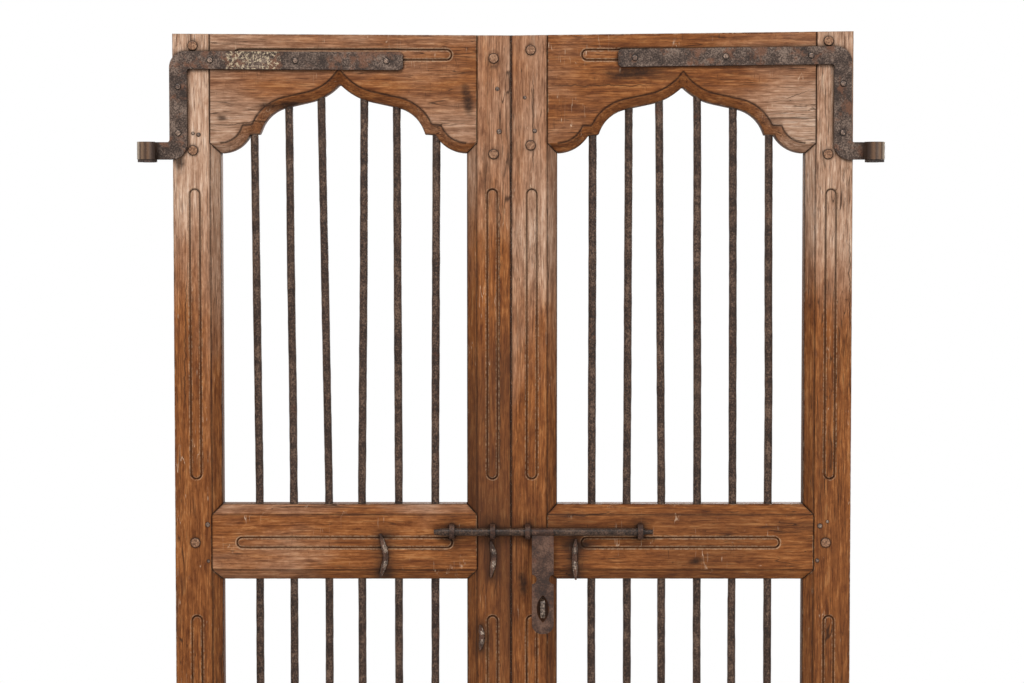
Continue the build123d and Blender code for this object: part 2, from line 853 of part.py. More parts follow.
def make_hasp():
    """A flat plate rolled round the neck of the bolt, with a notched waist and an almond slot."""
    tilt = radians(hasp_rest_angle)
    hang = Plane((hasp_place, bolt_y, bolt_z), x_dir=(1, 0, 0), z_dir=(0, -cos(tilt), sin(tilt)))
    along_eye = Plane((hasp_place - hasp_width / 2, bolt_y, bolt_z), x_dir=(0, 1, 0), z_dir=(1, 0, 0))
    slot_top = (0, hasp_slot_height / 2 - hasp_slot_drop)
    slot_bottom = (0, -hasp_slot_height / 2 - hasp_slot_drop)
    with BuildPart() as hasp:
        with BuildSketch(hang) as outline:
            with Locations((0, -hasp_length / 2)):
                Rectangle(hasp_width, hasp_length)
            fillet(outline.vertices().group_by(Axis.Y)[0], hasp_corner_radius)
            with Locations((-hasp_width / 2, -hasp_notch_drop), (hasp_width / 2, -hasp_notch_drop)):
                Circle(hasp_notch_radius, mode=Mode.SUBTRACT)
            with BuildLine():
                ThreePointArc(slot_top, (hasp_slot_width / 2, -hasp_slot_drop), slot_bottom)
                ThreePointArc(slot_bottom, (-hasp_slot_width / 2, -hasp_slot_drop), slot_top)
            make_face(mode=Mode.SUBTRACT)
        extrude(amount=hasp_thickness / 2, both=True)
        with BuildSketch(along_eye):
            Circle(bolt_radius)
        extrude(amount=hasp_width)
        with BuildSketch(along_eye):
            Circle(bolt_neck_radius + hasp_bore_play)
        extrude(amount=hasp_width, mode=Mode.SUBTRACT)
    save(hasp.part, "hasp")


def make_leaf(leaf):
    make_stile(leaf, f"{leaf.name}_hinge_stile", leaf.hinge_edge, leaf.hinge_joint, leaf.hinge_inner, 0)
    make_stile(
        leaf,
        f"{leaf.name}_meeting_stile",
        leaf.meeting_edge,
        leaf.meeting_joint,
        leaf.meeting_inner,
        meeting_bevel,
    )
    make_top_rail(leaf)
    middle_name = f"{leaf.name}_middle_rail"
    make_straight_rail(leaf, middle_name, middle_rail_bottom, middle_rail_top, middle_tenon, middle_rail_centre)
    bottom_name = f"{leaf.name}_bottom_rail"
    make_straight_rail(leaf, bottom_name, 0, bottom_rail_height, bottom_tenon, bottom_bead_height)
    make_bars(leaf)
    for level in ("top", "middle", "bottom"):
        make_pegs(leaf, level)
    for level, eye in (("upper", upper_eye), ("lower", lower_eye)):
        make_strap(leaf, level)
        make_strap_nails(leaf, level)
        make_pintle(leaf, level, eye)
    for name, place in leaf.bolt_staple_places.items():
        make_bolt_staple(leaf, name, place)
    for name, pin in leaf.split_pins.items():
        make_split_pin(leaf, name, pin)


make_leaf(left)
make_leaf(right)
make_lock_staple()
make_bolt()
make_hasp()
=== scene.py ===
"""Looks of a pair of barred teak door leaves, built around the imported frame, in metres."""

import json
import math

import bpy
import numpy as np
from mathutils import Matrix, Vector
from mathutils.bvhtree import BVHTree


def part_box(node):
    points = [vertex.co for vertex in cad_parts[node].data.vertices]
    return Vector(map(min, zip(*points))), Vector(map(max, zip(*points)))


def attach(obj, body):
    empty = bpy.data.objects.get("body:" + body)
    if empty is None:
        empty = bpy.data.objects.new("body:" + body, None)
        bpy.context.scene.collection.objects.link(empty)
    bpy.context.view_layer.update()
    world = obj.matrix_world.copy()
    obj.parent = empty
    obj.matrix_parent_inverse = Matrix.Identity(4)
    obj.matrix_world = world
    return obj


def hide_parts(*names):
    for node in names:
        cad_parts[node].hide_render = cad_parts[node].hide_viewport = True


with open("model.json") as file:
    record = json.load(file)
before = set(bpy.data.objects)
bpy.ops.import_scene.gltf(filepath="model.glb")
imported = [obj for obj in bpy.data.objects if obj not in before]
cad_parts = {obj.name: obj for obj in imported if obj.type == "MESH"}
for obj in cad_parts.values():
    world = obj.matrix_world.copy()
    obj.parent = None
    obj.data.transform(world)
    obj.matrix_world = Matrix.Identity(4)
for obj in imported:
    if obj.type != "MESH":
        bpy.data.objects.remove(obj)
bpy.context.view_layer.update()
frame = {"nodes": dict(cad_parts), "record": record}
nodes = frame["nodes"]
scene = bpy.context.scene

# Places read from the frame
low_corner, high_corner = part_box("left_hinge_stile")
front_y = low_corner.y
back_y = high_corner.y
leaf_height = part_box("left_meeting_stile")[1].z
middle_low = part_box("left_middle_rail")[0].z
middle_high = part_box("left_middle_rail")[1].z
bottom_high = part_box("left_bottom_rail")[1].z
spring_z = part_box("left_top_rail")[0].z

# Sizes of the joinery
tenon_length = 0.044
chamfer = 0.016
bead_radius = 0.0082
groove_half = 0.0021
groove_depth = 0.0030
bead_inset = 0.025
bead_head_gap = 0.058
bead_foot_gap = 0.042
top_bead_drop = 0.031
bottom_bead_height = 0.096
quirk_half = 0.0024
quirk_depth = 0.0024
edge_round = 0.0011
stain_reach = 0.022
meeting_bevel = 0.004
meeting_swell = 0.000395
peg_radius = 0.008
peg_rise = 0.002

# Unevenness of the wood, and the sizes of its wear, dirt, painted shade, painted top light, pale corners and
# cracks
face_sink = 0.0004
back_sink = 0.0003
broad_wander = 0.00035
fine_wander = 0.00018
crown_drop = 0.0005
wear_reach = 0.006
top_light_reach = 0.003
rim_shade_reach = 0.0025
peg_ring_reach = 0.003
meeting_shade_reach = 0.003
joint_dirt_reach = 0.0015
groove_darkening_low = 1.1
groove_darkening_rise = 0.4
pale_corner_width = 0.09
pale_corner_drop = 0.07
pale_corner_height = 0.06
crack_half_width = 0.0018
crack_wander = 0.011
crack_run_in = 0.03
crack_run_out = 0.05

# Sizes of the ironwork
bar_count = 6
bar_radius = 0.0065
bar_bend_rise = 0.025
bar_bow = 0.0005
bar_sway = 0.0004
bar_lump = 0.00022
bar_swell = 0.00015
end_reach = 0.001
clench_half = 0.0046
clench_height = 0.0042
clench_sink = 0.0006
clench_start = 0.06
clench_reach = 0.0002
small_nail_radius = 0.0026
small_nail_growth = 0.0007
small_nail_height = 0.001
eye_inner = 0.562
eye_outer = 0.596
eye_blend = 0.004
paint_start = (-0.475, -0.445)
paint_end = (-0.385, -0.345)
strap_bevel = 0.002
small_bevel = 0.0009
bevel_angle = math.radians(40)

# Steps and limits of the meshes, and the share of a wall that takes the marks of its rims
coarse_step = 0.004
long_step = 0.005
arch_step = 0.0025
fine_step = 0.0012
first_step = 0.0005
least_step = 0.0003
bar_step = 0.006
bar_sides = 14
nail_sides = 12
rim_rings = 8
mitre_run = 0.08
wall_margin = 0.1
sharp_angle = math.radians(50)
sliver = 0.0004
tiny = 0.000001
noise_cells = 256
noise_shift = 1000

# Where the look up at the arch starts: below it, and in from the back
arch_look_drop = 0.1
arch_look_inset = 0.004


def srgb(red, green, blue):
    """A colour given as it looks on a screen, for a shader."""
    shares = [value / 255 for value in (red, green, blue)]
    linear = [s / 12.92 if s <= 0.04045 else ((s + 0.055) / 1.055) ** 2.4 for s in shares]
    return (*linear, 1)


class Graph:
    """A material's nodes. A value is a number, a colour, a vector or another node's output."""

    def __init__(self, name):
        self.material = bpy.data.materials.new(name)
        self.material.use_nodes = True
        self.tree = self.material.node_tree
        self.tree.nodes.clear()
        self.surface = self.tree.nodes.new("ShaderNodeBsdfPrincipled")
        output = self.tree.nodes.new("ShaderNodeOutputMaterial")
        self.tree.links.new(self.surface.outputs[0], output.inputs[0])
        coordinates = self.tree.nodes.new("ShaderNodeTexCoord")
        self.place = coordinates.outputs["Object"]
        self.directions = coordinates.outputs["Normal"]

    def put(self, socket, value):
        if isinstance(value, bpy.types.NodeSocket):
            self.tree.links.new(value, socket)
        else:
            socket.default_value = value

    def scaled(self, scale, shift=(0, 0, 0), turn=0.0):
        node = self.tree.nodes.new("ShaderNodeMapping")
        self.put(node.inputs["Vector"], self.place)
        self.put(node.inputs["Scale"], scale)
        self.put(node.inputs["Location"], shift)
        self.put(node.inputs["Rotation"], (0, turn, 0))
        return node.outputs[0]

    def noise(self, vector, scale, detail=4.0, roughness=0.55, distortion=0.0):
        node = self.tree.nodes.new("ShaderNodeTexNoise")
        self.put(node.inputs["Vector"], vector)
        self.put(node.inputs["Scale"], scale)
        self.put(node.inputs["Detail"], detail)
        self.put(node.inputs["Roughness"], roughness)
        self.put(node.inputs["Distortion"], distortion)
        return node.outputs["Fac"]

    def cells(self, vector, scale):
        node = self.tree.nodes.new("ShaderNodeTexVoronoi")
        self.put(node.inputs["Vector"], vector)
        self.put(node.inputs["Scale"], scale)
        return node.outputs["Distance"]

    def math(self, operation, first, second=0.0, clamp=False):
        node = self.tree.nodes.new("ShaderNodeMath")
        node.operation = operation
        node.use_clamp = clamp
        self.put(node.inputs[0], first)
        self.put(node.inputs[1], second)
        return node.outputs[0]

    def span(self, value, low, high, start=0.0, end=1.0):
        """Value carried from low..high to start..end, held at its ends."""
        node = self.tree.nodes.new("ShaderNodeMapRange")
        node.interpolation_type = "SMOOTHSTEP"
        self.put(node.inputs["Value"], value)
        self.put(node.inputs["From Min"], low)
        self.put(node.inputs["From Max"], high)
        self.put(node.inputs["To Min"], start)
        self.put(node.inputs["To Max"], end)
        return node.outputs[0]

    def ramp(self, value, *stops):
        node = self.tree.nodes.new("ShaderNodeValToRGB")
        self.put(node.inputs[0], value)
        elements = node.color_ramp.elements
        while len(elements) < len(stops):
            elements.new(1)
        for element, (position, colour) in zip(elements, stops):
            element.position = position
            element.color = colour
        return node.outputs[0]

    def mix(self, share, first, second):
        node = self.tree.nodes.new("ShaderNodeMix")
        node.data_type = "RGBA"
        self.put(node.inputs["Factor"], share)
        self.put(node.inputs[6], first)
        self.put(node.inputs[7], second)
        return node.outputs[2]

    def attribute(self, name):
        node = self.tree.nodes.new("ShaderNodeAttribute")
        node.attribute_name = name
        return node.outputs["Fac"]

    def axis(self, name):
        node = self.tree.nodes.new("ShaderNodeSeparateXYZ")
        self.put(node.inputs[0], self.place)
        return node.outputs[name]

    def normal(self, name):
        node = self.tree.nodes.new("ShaderNodeSeparateXYZ")
        self.put(node.inputs[0], self.directions)
        return node.outputs[name]

    def crack(self, along, start, end, place, slope):
        """A dark split that wanders along the grain from start to end, near a place across it."""
        cross = "X" if along == "Z" else "Z"
        length = end - start
        travelled = self.math("SUBTRACT", self.axis(along), start)
        wander = self.noise(self.scaled((1, 0, 0) if along == "X" else (0, 0, 1)), 55.0, 3.0)
        wander = self.math("MULTIPLY", wander, crack_wander)
        line = self.math("ADD", self.math("MULTIPLY", travelled, slope), wander)
        off = self.math("SUBTRACT", self.math("SUBTRACT", self.axis(cross), place), line)
        width = self.math("MULTIPLY", self.span(travelled, 0.0, crack_run_in), crack_half_width)
        width = self.math("MULTIPLY", width, self.span(travelled, length - crack_run_out, length, 1.0, 0.0))
        width = self.math("ADD", width, 10 * tiny)
        return self.math("SUBTRACT", 1.0, self.math("DIVIDE", self.math("ABSOLUTE", off), width), True)

    def crevice(self, distance):
        """1 where other surfaces stand close by, 0 in the open. The materials use it to paint shade into
        their colour.
        """
        node = self.tree.nodes.new("ShaderNodeAmbientOcclusion")
        node.samples = 8
        self.put(node.inputs["Distance"], distance)
        return self.span(node.outputs["AO"], 0.46, 0.97, 1.0, 0.0)

    def bump(self, height, strength, distance):
        node = self.tree.nodes.new("ShaderNodeBump")
        self.put(node.inputs["Height"], height)
        self.put(node.inputs["Strength"], strength)
        self.put(node.inputs["Distance"], distance)
        self.put(self.surface.inputs["Normal"], node.outputs[0])

    def finish(self, colour, roughness, metallic=0.0, specular=0.5):
        self.put(self.surface.inputs["Base Color"], colour)
        self.put(self.surface.inputs["Roughness"], roughness)
        self.put(self.surface.inputs["Metallic"], metallic)
        self.put(self.surface.inputs["Specular IOR Level"], specular)
        return self.material


def make_teak(name, along, shift, cracks):
    """Old teak with its grain along Z or X. The mesh tells where it is bleached, stained and worn, and where
    dirt and painted shade darken it.
    """
    g = Graph(name)
    slow = 0.05
    stretch = (1, 1, slow) if along == "Z" else (slow, 1, 1)
    medium = tuple(0.3 + 0.7 * s for s in stretch)
    lengthwise = g.scaled(stretch, shift)
    patches = g.noise(g.scaled(medium, shift), 9.0, 6.0, 0.62)
    mottle = g.noise(g.scaled(medium, (shift[1], shift[2], shift[0])), 120.0, 8.0, 0.72, 0.6)
    streaks = g.noise(lengthwise, 150.0, 6.0, 0.65, 0.6)
    fibres = g.noise(lengthwise, 520.0, 3.0, 0.65)
    figure = g.math("ADD", g.math("MULTIPLY", streaks, 0.34), g.math("MULTIPLY", fibres, 0.40))
    figure = g.math("ADD", figure, g.math("MULTIPLY", mottle, 0.44))
    grain = g.span(figure, 0.44, 0.74)
    deep = g.ramp(
        grain,
        (0.0, srgb(84, 43, 18)),
        (0.35, srgb(113, 65, 31)),
        (0.7, srgb(136, 82, 42)),
        (1.0, srgb(160, 108, 64)),
    )
    bleached = g.ramp(
        grain,
        (0.0, srgb(136, 102, 80)),
        (0.35, srgb(166, 132, 108)),
        (0.7, srgb(185, 154, 131)),
        (1.0, srgb(206, 180, 160)),
    )
    tone = g.math("ADD", g.attribute("tone"), g.math("MULTIPLY", g.math("SUBTRACT", patches, 0.5), 1.5))
    deep = g.mix(g.span(tone, -0.9, 0.0, 0.75, 0.0), deep, srgb(66, 39, 25))
    colour = g.mix(g.span(tone, 0.05, 0.95), deep, bleached)
    speckle = g.noise(g.scaled((1, 1, 1), shift), 190.0, 5.0, 0.7)
    smoke = g.noise(g.scaled(medium, (shift[2], shift[0], shift[1])), 17.0, 6.0, 0.66)
    colour = g.mix(g.span(smoke, 0.58, 0.74, 0.0, 0.55), colour, srgb(66, 40, 25))
    pores = g.span(g.noise(lengthwise, 640.0, 2.0, 0.5), 0.58, 0.68, 0.0, 0.5)
    colour = g.mix(pores, colour, srgb(62, 34, 18))
    hairs = g.noise(g.scaled(tuple(0.6 * s if s < 1 else s for s in stretch), shift), 170.0, 2.0, 0.5, 0.5)
    hair = g.span(g.math("ABSOLUTE", g.math("SUBTRACT", hairs, 0.5)), 0.004, 0.024, 1.0, 0.0)
    hair = g.math("MULTIPLY", hair, g.span(mottle, 0.42, 0.60, 0.05, 0.6))
    colour = g.mix(hair, colour, srgb(54, 32, 19))
    checks = g.noise(lengthwise, 34.0, 3.0, 0.5, 1.4)
    check = g.span(g.math("ABSOLUTE", g.math("SUBTRACT", checks, 0.5)), 0.001, 0.009, 1.0, 0.0)
    check = g.math("MULTIPLY", check, g.span(smoke, 0.46, 0.56))
    splits = g.noise(lengthwise, 62.0, 4.0, 0.6, 1.0)
    split = g.span(g.math("ABSOLUTE", g.math("SUBTRACT", splits, 0.5)), 0.001, 0.010, 1.0, 0.0)
    split = g.math("MULTIPLY", split, g.span(tone, 0.35, 0.85))
    check = g.math("MAXIMUM", check, g.math("MULTIPLY", split, g.span(patches, 0.42, 0.55)))
    for crack in cracks:
        check = g.math("MAXIMUM", check, g.crack(along, *crack))
    colour = g.mix(g.math("MULTIPLY", check, 0.8), colour, srgb(42, 26, 17))
    worn = g.span(g.math("MULTIPLY", g.attribute("wear"), g.math("ADD", speckle, 0.25)), 0.46, 0.74)
    colour = g.mix(g.math("MULTIPLY", worn, 0.6), colour, srgb(190, 156, 124))
    for turn, start in ((0.6, 3.0), (-0.9, 7.0), (1.4, 5.0)):
        lines = g.noise(g.scaled((1, 1, 0.08), (start, 0, 0), turn), 60.0, 3.0, 0.6)
        scratch = g.span(g.math("ABSOLUTE", g.math("SUBTRACT", lines, 0.5)), 0.001, 0.007, 1.0, 0.0)
        where = g.span(g.noise(g.scaled((1, 1, 1), (0, start, 0)), 22.0, 3.0, 0.6), 0.58, 0.66, 0.0, 0.6)
        scratch = g.math("MULTIPLY", scratch, where)
        colour = g.mix(scratch, colour, srgb(204, 176, 148) if turn > 1 else srgb(48, 30, 20))
    scuff = g.span(g.noise(g.scaled(medium, (2, 1, shift[0])), 85.0, 6.0, 0.75), 0.66, 0.74, 0.0, 0.45)
    colour = g.mix(scuff, colour, srgb(196, 166, 140))
    rusty = g.math("MULTIPLY", g.attribute("stain"), g.span(smoke, 0.35, 0.62, 0.45, 1.0))
    colour = g.mix(rusty, colour, srgb(36, 23, 16))
    # Dirt and painted shade from the mesh, deepened by painted shade wherever other surfaces stand close by,
    # such as in grooves and against the iron.
    grime_and_shade = g.math("MULTIPLY", g.attribute("dirt_and_shade"), g.span(speckle, 0.25, 0.6, 0.7, 1.0))
    grime_and_shade = g.math("MAXIMUM", grime_and_shade, g.math("MULTIPLY", g.crevice(0.010), 0.9))
    colour = g.mix(grime_and_shade, colour, srgb(34, 21, 14))
    relief = g.math("ADD", g.math("MULTIPLY", streaks, 0.4), g.math("MULTIPLY", fibres, 0.5))
    relief = g.math("ADD", relief, g.math("MULTIPLY", mottle, 0.8))
    relief = g.math("SUBTRACT", relief, g.math("ADD", check, g.math("MULTIPLY", hair, 0.4)))
    g.bump(relief, 0.5, 0.0008)
    return g.finish(colour, g.span(grain, 0.0, 1.0, 0.6, 0.72), 0.0, 0.12)


def make_iron(name, dark, middle, pale, rust, rust_share, pits, relief_strength, speckled=0.65):
    """Forged iron under a brown patina, with rust in patches, corrosion pits, and painted shade where other
    surfaces stand close.
    """
    g = Graph(name)
    everywhere = g.scaled((1, 1, 1))
    clouds = g.noise(everywhere, 45.0, 6.0, 0.65)
    specks = g.noise(everywhere, 420.0, 4.0, 0.7)
    mottle = g.math("ADD", g.math("MULTIPLY", clouds, 1 - speckled), g.math("MULTIPLY", specks, speckled))
    colour = g.ramp(g.span(mottle, 0.40, 0.62), (0.0, dark), (0.5, middle), (1.0, pale))
    patch = g.noise(g.scaled((1, 1, 1), (3, 1, 2)), 28.0, 7.0, 0.7)
    rusty = g.span(patch, 0.62 - rust_share, 0.72 - rust_share, 0.0, 0.7)
    colour = g.mix(rusty, colour, rust)
    pit = g.span(g.cells(g.scaled((1, 1, 1), (1, 2, 3)), pits), 0.12, 0.45)
    colour = g.mix(g.span(pit, 0.0, 0.5, 0.55, 0.0), colour, dark)
    # Painted shade where other surfaces stand close by, as round nail heads and along edges against the
    # wood.
    colour = g.mix(g.math("MULTIPLY", g.crevice(0.006), 0.85), colour, srgb(20, 14, 10))
    relief = g.math("ADD", g.math("MULTIPLY", pit, 0.6), g.math("MULTIPLY", specks, 0.8))
    g.bump(relief, relief_strength, 0.0009)
    return g, colour, specks


def plain_iron(name, roughness=0.5, specular=0.22, **settings):
    """Iron with no marks of its own, rougher on its pale specks."""
    g, colour, specks = make_iron(name, **settings)
    return g.finish(colour, g.span(specks, 0.3, 0.7, roughness - 0.1, roughness + 0.12), 0.0, specular)


def make_strap_iron():
    """Strap iron with flecks of cream paint on part of the left arm, and eyes polished smoother by the pins,
    with painted bands of reflection and shade across them.
    """
    g, colour, _ = make_iron(
        "strap_iron",
        dark=srgb(38, 27, 21),
        middle=srgb(72, 57, 48),
        pale=srgb(116, 98, 86),
        rust=srgb(104, 68, 48),
        rust_share=0.10,
        pits=260.0,
        relief_strength=0.35,
        speckled=0.55,
    )
    left = g.span(g.axis("X"), *paint_start)
    right = g.span(g.axis("X"), *paint_end, 1.0, 0.0)
    flake = g.noise(g.scaled((1, 1, 1), (5, 0, 1)), 210.0, 6.0, 0.75)
    bare = g.span(g.math("MULTIPLY", left, right), 0.0, 1.0, 0.72, 0.52)
    paint = g.span(g.math("SUBTRACT", flake, bare), 0.0, 0.03)
    colour = g.mix(g.math("MULTIPLY", paint, 0.8), colour, srgb(178, 160, 132))
    outward = g.math("ABSOLUTE", g.axis("X"))
    eye = g.span(outward, eye_inner - eye_blend, eye_inner + eye_blend)
    across = g.math("DIVIDE", g.math("SUBTRACT", outward, eye_inner), eye_outer - eye_inner)
    across = g.math("ADD", across, g.math("MULTIPLY", g.math("SUBTRACT", flake, 0.5), 0.12))
    # Painted reflection and shade: bands of highlight and dark across the curve of each eye.
    wear_and_painted_reflection = g.ramp(
        across,
        (0.0, srgb(36, 26, 20)),
        (0.25, srgb(52, 37, 28)),
        (0.42, srgb(98, 73, 54)),
        (0.55, srgb(60, 43, 33)),
        (0.72, srgb(116, 92, 72)),
        (0.80, srgb(66, 48, 37)),
        (0.92, srgb(168, 150, 130)),
        (1.0, srgb(58, 43, 34)),
    )
    colour = g.mix(eye, colour, wear_and_painted_reflection)
    roughness = g.span(eye, 0.0, 1.0, 0.55, 0.3)
    return g.finish(colour, roughness, 0.0, 0.22)


def make_nail_iron():
    """Nail heads, with painted shade darkening them round the rim, where the head turns away from the front.
    """
    g, colour, _ = make_iron(
        "nail_iron",
        dark=srgb(44, 30, 23),
        middle=srgb(96, 74, 60),
        pale=srgb(152, 128, 110),
        rust=srgb(104, 66, 46),
        rust_share=0.04,
        pits=300.0,
        relief_strength=0.3,
    )
    facing = g.math("MULTIPLY", g.normal("Y"), -1.0)
    # Painted shade: darker where the head turns away from the front.
    colour = g.mix(g.span(facing, 0.66, 0.96, 1.0, 0.0), colour, srgb(20, 13, 10))
    return g.finish(colour, 0.4, 0.0, 0.4)


def make_peg_wood():
    """Peg heads, with painted shade darkening them towards the rim and round their foot."""
    g = Graph("peg_wood")
    rings = g.noise(g.scaled((1, 1, 1)), 420.0, 4.0, 0.6)
    colour = g.ramp(
        g.span(rings, 0.3, 0.7),
        (0.0, srgb(74, 47, 30)),
        (0.5, srgb(120, 83, 57)),
        (1.0, srgb(156, 119, 91)),
    )
    facing = g.math("MULTIPLY", g.normal("Y"), -1.0)
    # Painted shade: darker where the dome turns away from the front.
    colour = g.mix(g.span(facing, 0.72, 0.995, 0.95, 0.0), colour, srgb(38, 24, 16))
    # Painted shade at the foot of the peg, where the wood stands close.
    colour = g.mix(g.math("MULTIPLY", g.crevice(0.004), 0.8), colour, srgb(30, 19, 13))
    g.bump(rings, 0.4, 0.0006)
    return g.finish(colour, 0.5, 0.0, 0.3)


materials = {
    "bar_iron": plain_iron(
        "bar_iron",
        dark=srgb(30, 19, 13),
        middle=srgb(61, 43, 33),
        pale=srgb(106, 84, 69),
        rust=srgb(82, 50, 34),
        rust_share=0.03,
        pits=330.0,
        relief_strength=0.6,
    ),
    "strap_iron": make_strap_iron(),
    "lock_iron": plain_iron(
        "lock_iron",
        dark=srgb(40, 25, 18),
        middle=srgb(66, 44, 33),
        pale=srgb(96, 70, 56),
        rust=srgb(88, 54, 38),
        rust_share=0.06,
        pits=300.0,
        relief_strength=0.35,
        speckled=0.4,
    ),
    "bolt_iron": plain_iron(
        "bolt_iron",
        roughness=0.4,
        dark=srgb(30, 19, 12),
        middle=srgb(54, 38, 28),
        pale=srgb(92, 70, 56),
        rust=srgb(72, 45, 30),
        rust_share=0.0,
        pits=300.0,
        relief_strength=0.3,
    ),
    "nail_iron": make_nail_iron(),
    # Lighter iron for the clenched legs and the hasp's staple: partly iron hammered bare, partly painted
    # highlight.
    "clench_iron": plain_iron(
        "clench_iron",
        roughness=0.36,
        specular=0.5,
        dark=srgb(44, 31, 24),
        middle=srgb(108, 88, 73),
        pale=srgb(184, 164, 146),
        rust=srgb(98, 64, 46),
        rust_share=0.04,
        pits=300.0,
        relief_strength=0.3,
    ),
    "pintle_iron": plain_iron(
        "pintle_iron",
        dark=srgb(28, 21, 17),
        middle=srgb(52, 41, 35),
        pale=srgb(84, 70, 62),
        rust=srgb(76, 48, 34),
        rust_share=0.05,
        pits=280.0,
        relief_strength=0.5,
    ),
    "peg_wood": make_peg_wood(),
}


def value_noise(first, second, first_size, second_size, seed):
    """Smooth seeded noise from -1 to 1, with cells of these two sizes."""
    table = np.random.default_rng(seed).uniform(-1, 1, (noise_cells + 1, noise_cells + 1))
    u = first / first_size + noise_shift
    v = second / second_size + noise_shift
    i = np.floor(u).astype(int)
    j = np.floor(v).astype(int)
    a = u - i
    b = v - j
    a = a * a * (3 - 2 * a)
    b = b * b * (3 - 2 * b)
    i0, i1 = i % noise_cells, (i + 1) % noise_cells
    j0, j1 = j % noise_cells, (j + 1) % noise_cells
    low = table[i0, j0] * (1 - a) + table[i1, j0] * a
    high = table[i0, j1] * (1 - a) + table[i1, j1] * a
    return low * (1 - b) + high * b


def steps(start, stop, step, *fine_zones):
    """Places from start to stop, close together within the fine zones and near both ends."""
    ends = (0.0, first_step, edge_round, 2 * edge_round)
    places = [start + e for e in ends] + [stop - e for e in ends]
    places += list(np.linspace(start, stop, max(2, int((stop - start) / step) + 1)))
    for low, high in fine_zones:
        low, high = max(low, start), min(high, stop)
        places = [p for p in places if p < low or p > high]
        places += list(np.linspace(low, high, max(2, int((high - low) / fine_step) + 1)))
    places = np.unique(np.round(places, 6))
    keep = np.append(True, np.diff(places) > least_step)
    return places[keep]


class Bead:
    """A groove round a long bead with round ends, from one end of its centre line to the other."""

    def __init__(self, start, end):
        self.start = np.array(start)
        self.end = np.array(end)

    def distance(self, x, z):
        along = self.end - self.start
        share = ((x - self.start[0]) * along[0] + (z - self.start[1]) * along[1]) / (along @ along)
        share = np.clip(share, 0, 1)
        return np.hypot(x - self.start[0] - share * along[0], z - self.start[1] - share * along[1])

    def groove(self, x, z):
        """1 along the middle of the groove, 0 from its edges on."""
        return np.clip(1 - np.abs(self.distance(x, z) - bead_radius) / groove_half, 0, 1)

    def rims(self, x, z):
        """The two rubbed edges of the groove."""
        away = np.abs(np.abs(self.distance(x, z) - bead_radius) - groove_half)
        return np.clip(1.3 - away / groove_half, 0, 1)

    def crown(self, x, z):
        """How far the bead has rounded away from its centre line, from 0 to 1."""
        share = self.distance(x, z) / bead_radius
        return np.where(share < 1, share**2, 0)

    def zones(self, axis):
        """The stretches along x (0) or z (1) where the groove needs close steps."""
        reach = bead_radius + 2 * groove_half
        low = min(self.start[axis], self.end[axis])
        high = max(self.start[axis], self.end[axis])
        if high - low < reach:
            return [(low - reach, high + reach)]
        return [(low - reach, low + groove_half), (high - groove_half, high + reach)]


def add_piece(name, vertices, faces, smooth):
    """A new object in the scene, made from points and faces."""
    mesh = bpy.data.meshes.new(name)
    mesh.from_pydata(vertices, [], faces)
    mesh.polygons.foreach_set("use_smooth", [smooth] * len(mesh.polygons))
    piece = bpy.data.objects.new(name, mesh)
    scene.collection.objects.link(piece)
    return piece


def tube_faces(first, rings, sides):
    """Faces of a closed tube whose rings of points follow one another from a first point on."""
    last = first + (rings - 1) * sides
    faces = []
    for ring in range(first, last, sides):
        for k in range(sides):
            a = ring + k
            b = ring + (k + 1) % sides
            faces.append((a, b, b + sides, a + sides))
    faces.append(tuple(reversed(range(first, first + sides))))
    faces.append(tuple(range(last, last + sides)))
    return faces


def make_shell(name, x, z, back_x, front_depth, back_depth, cells, marks):
    """A closed mesh from a grid of places on the front, the same grid on the back, and walls between."""
    rows, columns = x.shape
    corner = np.zeros((rows, columns), bool)
    for i in (0, 1):
        for j in (0, 1):
            corner[i:rows - 1 + i, j:columns - 1 + j] |= cells
    count = int(corner.sum())
    number = np.full((rows, columns), -1)
    number[corner] = np.arange(count)
    front = np.stack([x, front_y + front_depth, z], -1)[corner]
    back = np.stack([back_x, back_y - back_depth, z], -1)[corner]
    a, b = number[:-1, :-1][cells], number[:-1, 1:][cells]
    c, d = number[1:, 1:][cells], number[1:, :-1][cells]
    faces = [np.stack([a, b, c, d], -1), np.stack([d, c, b, a], -1) + count]
    padded = np.pad(cells, 1)
    inside = padded[1:-1, 1:-1]
    sides = (
        (padded[:-2, 1:-1], number[:-1, :-1], number[:-1, 1:]),
        (padded[2:, 1:-1], number[1:, 1:], number[1:, :-1]),
        (padded[1:-1, :-2], number[1:, :-1], number[:-1, :-1]),
        (padded[1:-1, 2:], number[:-1, 1:], number[1:, 1:]),
    )
    edges = []
    for neighbour, start, end in sides:
        open_side = inside & ~neighbour
        edges.append(np.stack([start[open_side], end[open_side]]))
    starts, ends = np.concatenate(edges, 1)
    rim = np.unique(starts)
    in_rim = np.zeros(count, int)
    in_rim[rim] = np.arange(len(rim))
    near_front = front[rim] + wall_margin * (back[rim] - front[rim])
    near_back = back[rim] + wall_margin * (front[rim] - back[rim])
    lines = (np.arange(count), 2 * count + in_rim, 2 * count + len(rim) + in_rim, count + np.arange(count))
    for ahead, behind in zip(lines, lines[1:]):
        faces.append(np.stack([ahead[ends], ahead[starts], behind[starts], behind[ends]], -1))
    vertices = np.concatenate([front, back, near_front, near_back])
    piece = add_piece(name, vertices.tolist(), np.concatenate(faces).tolist(), True)
    for mark, (front_values, back_values, wall_values) in marks.items():
        attribute = piece.data.attributes.new(mark, "FLOAT", "POINT")
        walls = wall_values[corner][rim]
        values = np.concatenate([front_values[corner], back_values[corner], walls, walls])
        attribute.data.foreach_set("value", values.astype(np.float32))
    piece.data.set_sharp_from_angle(angle=sharp_angle)
    return piece


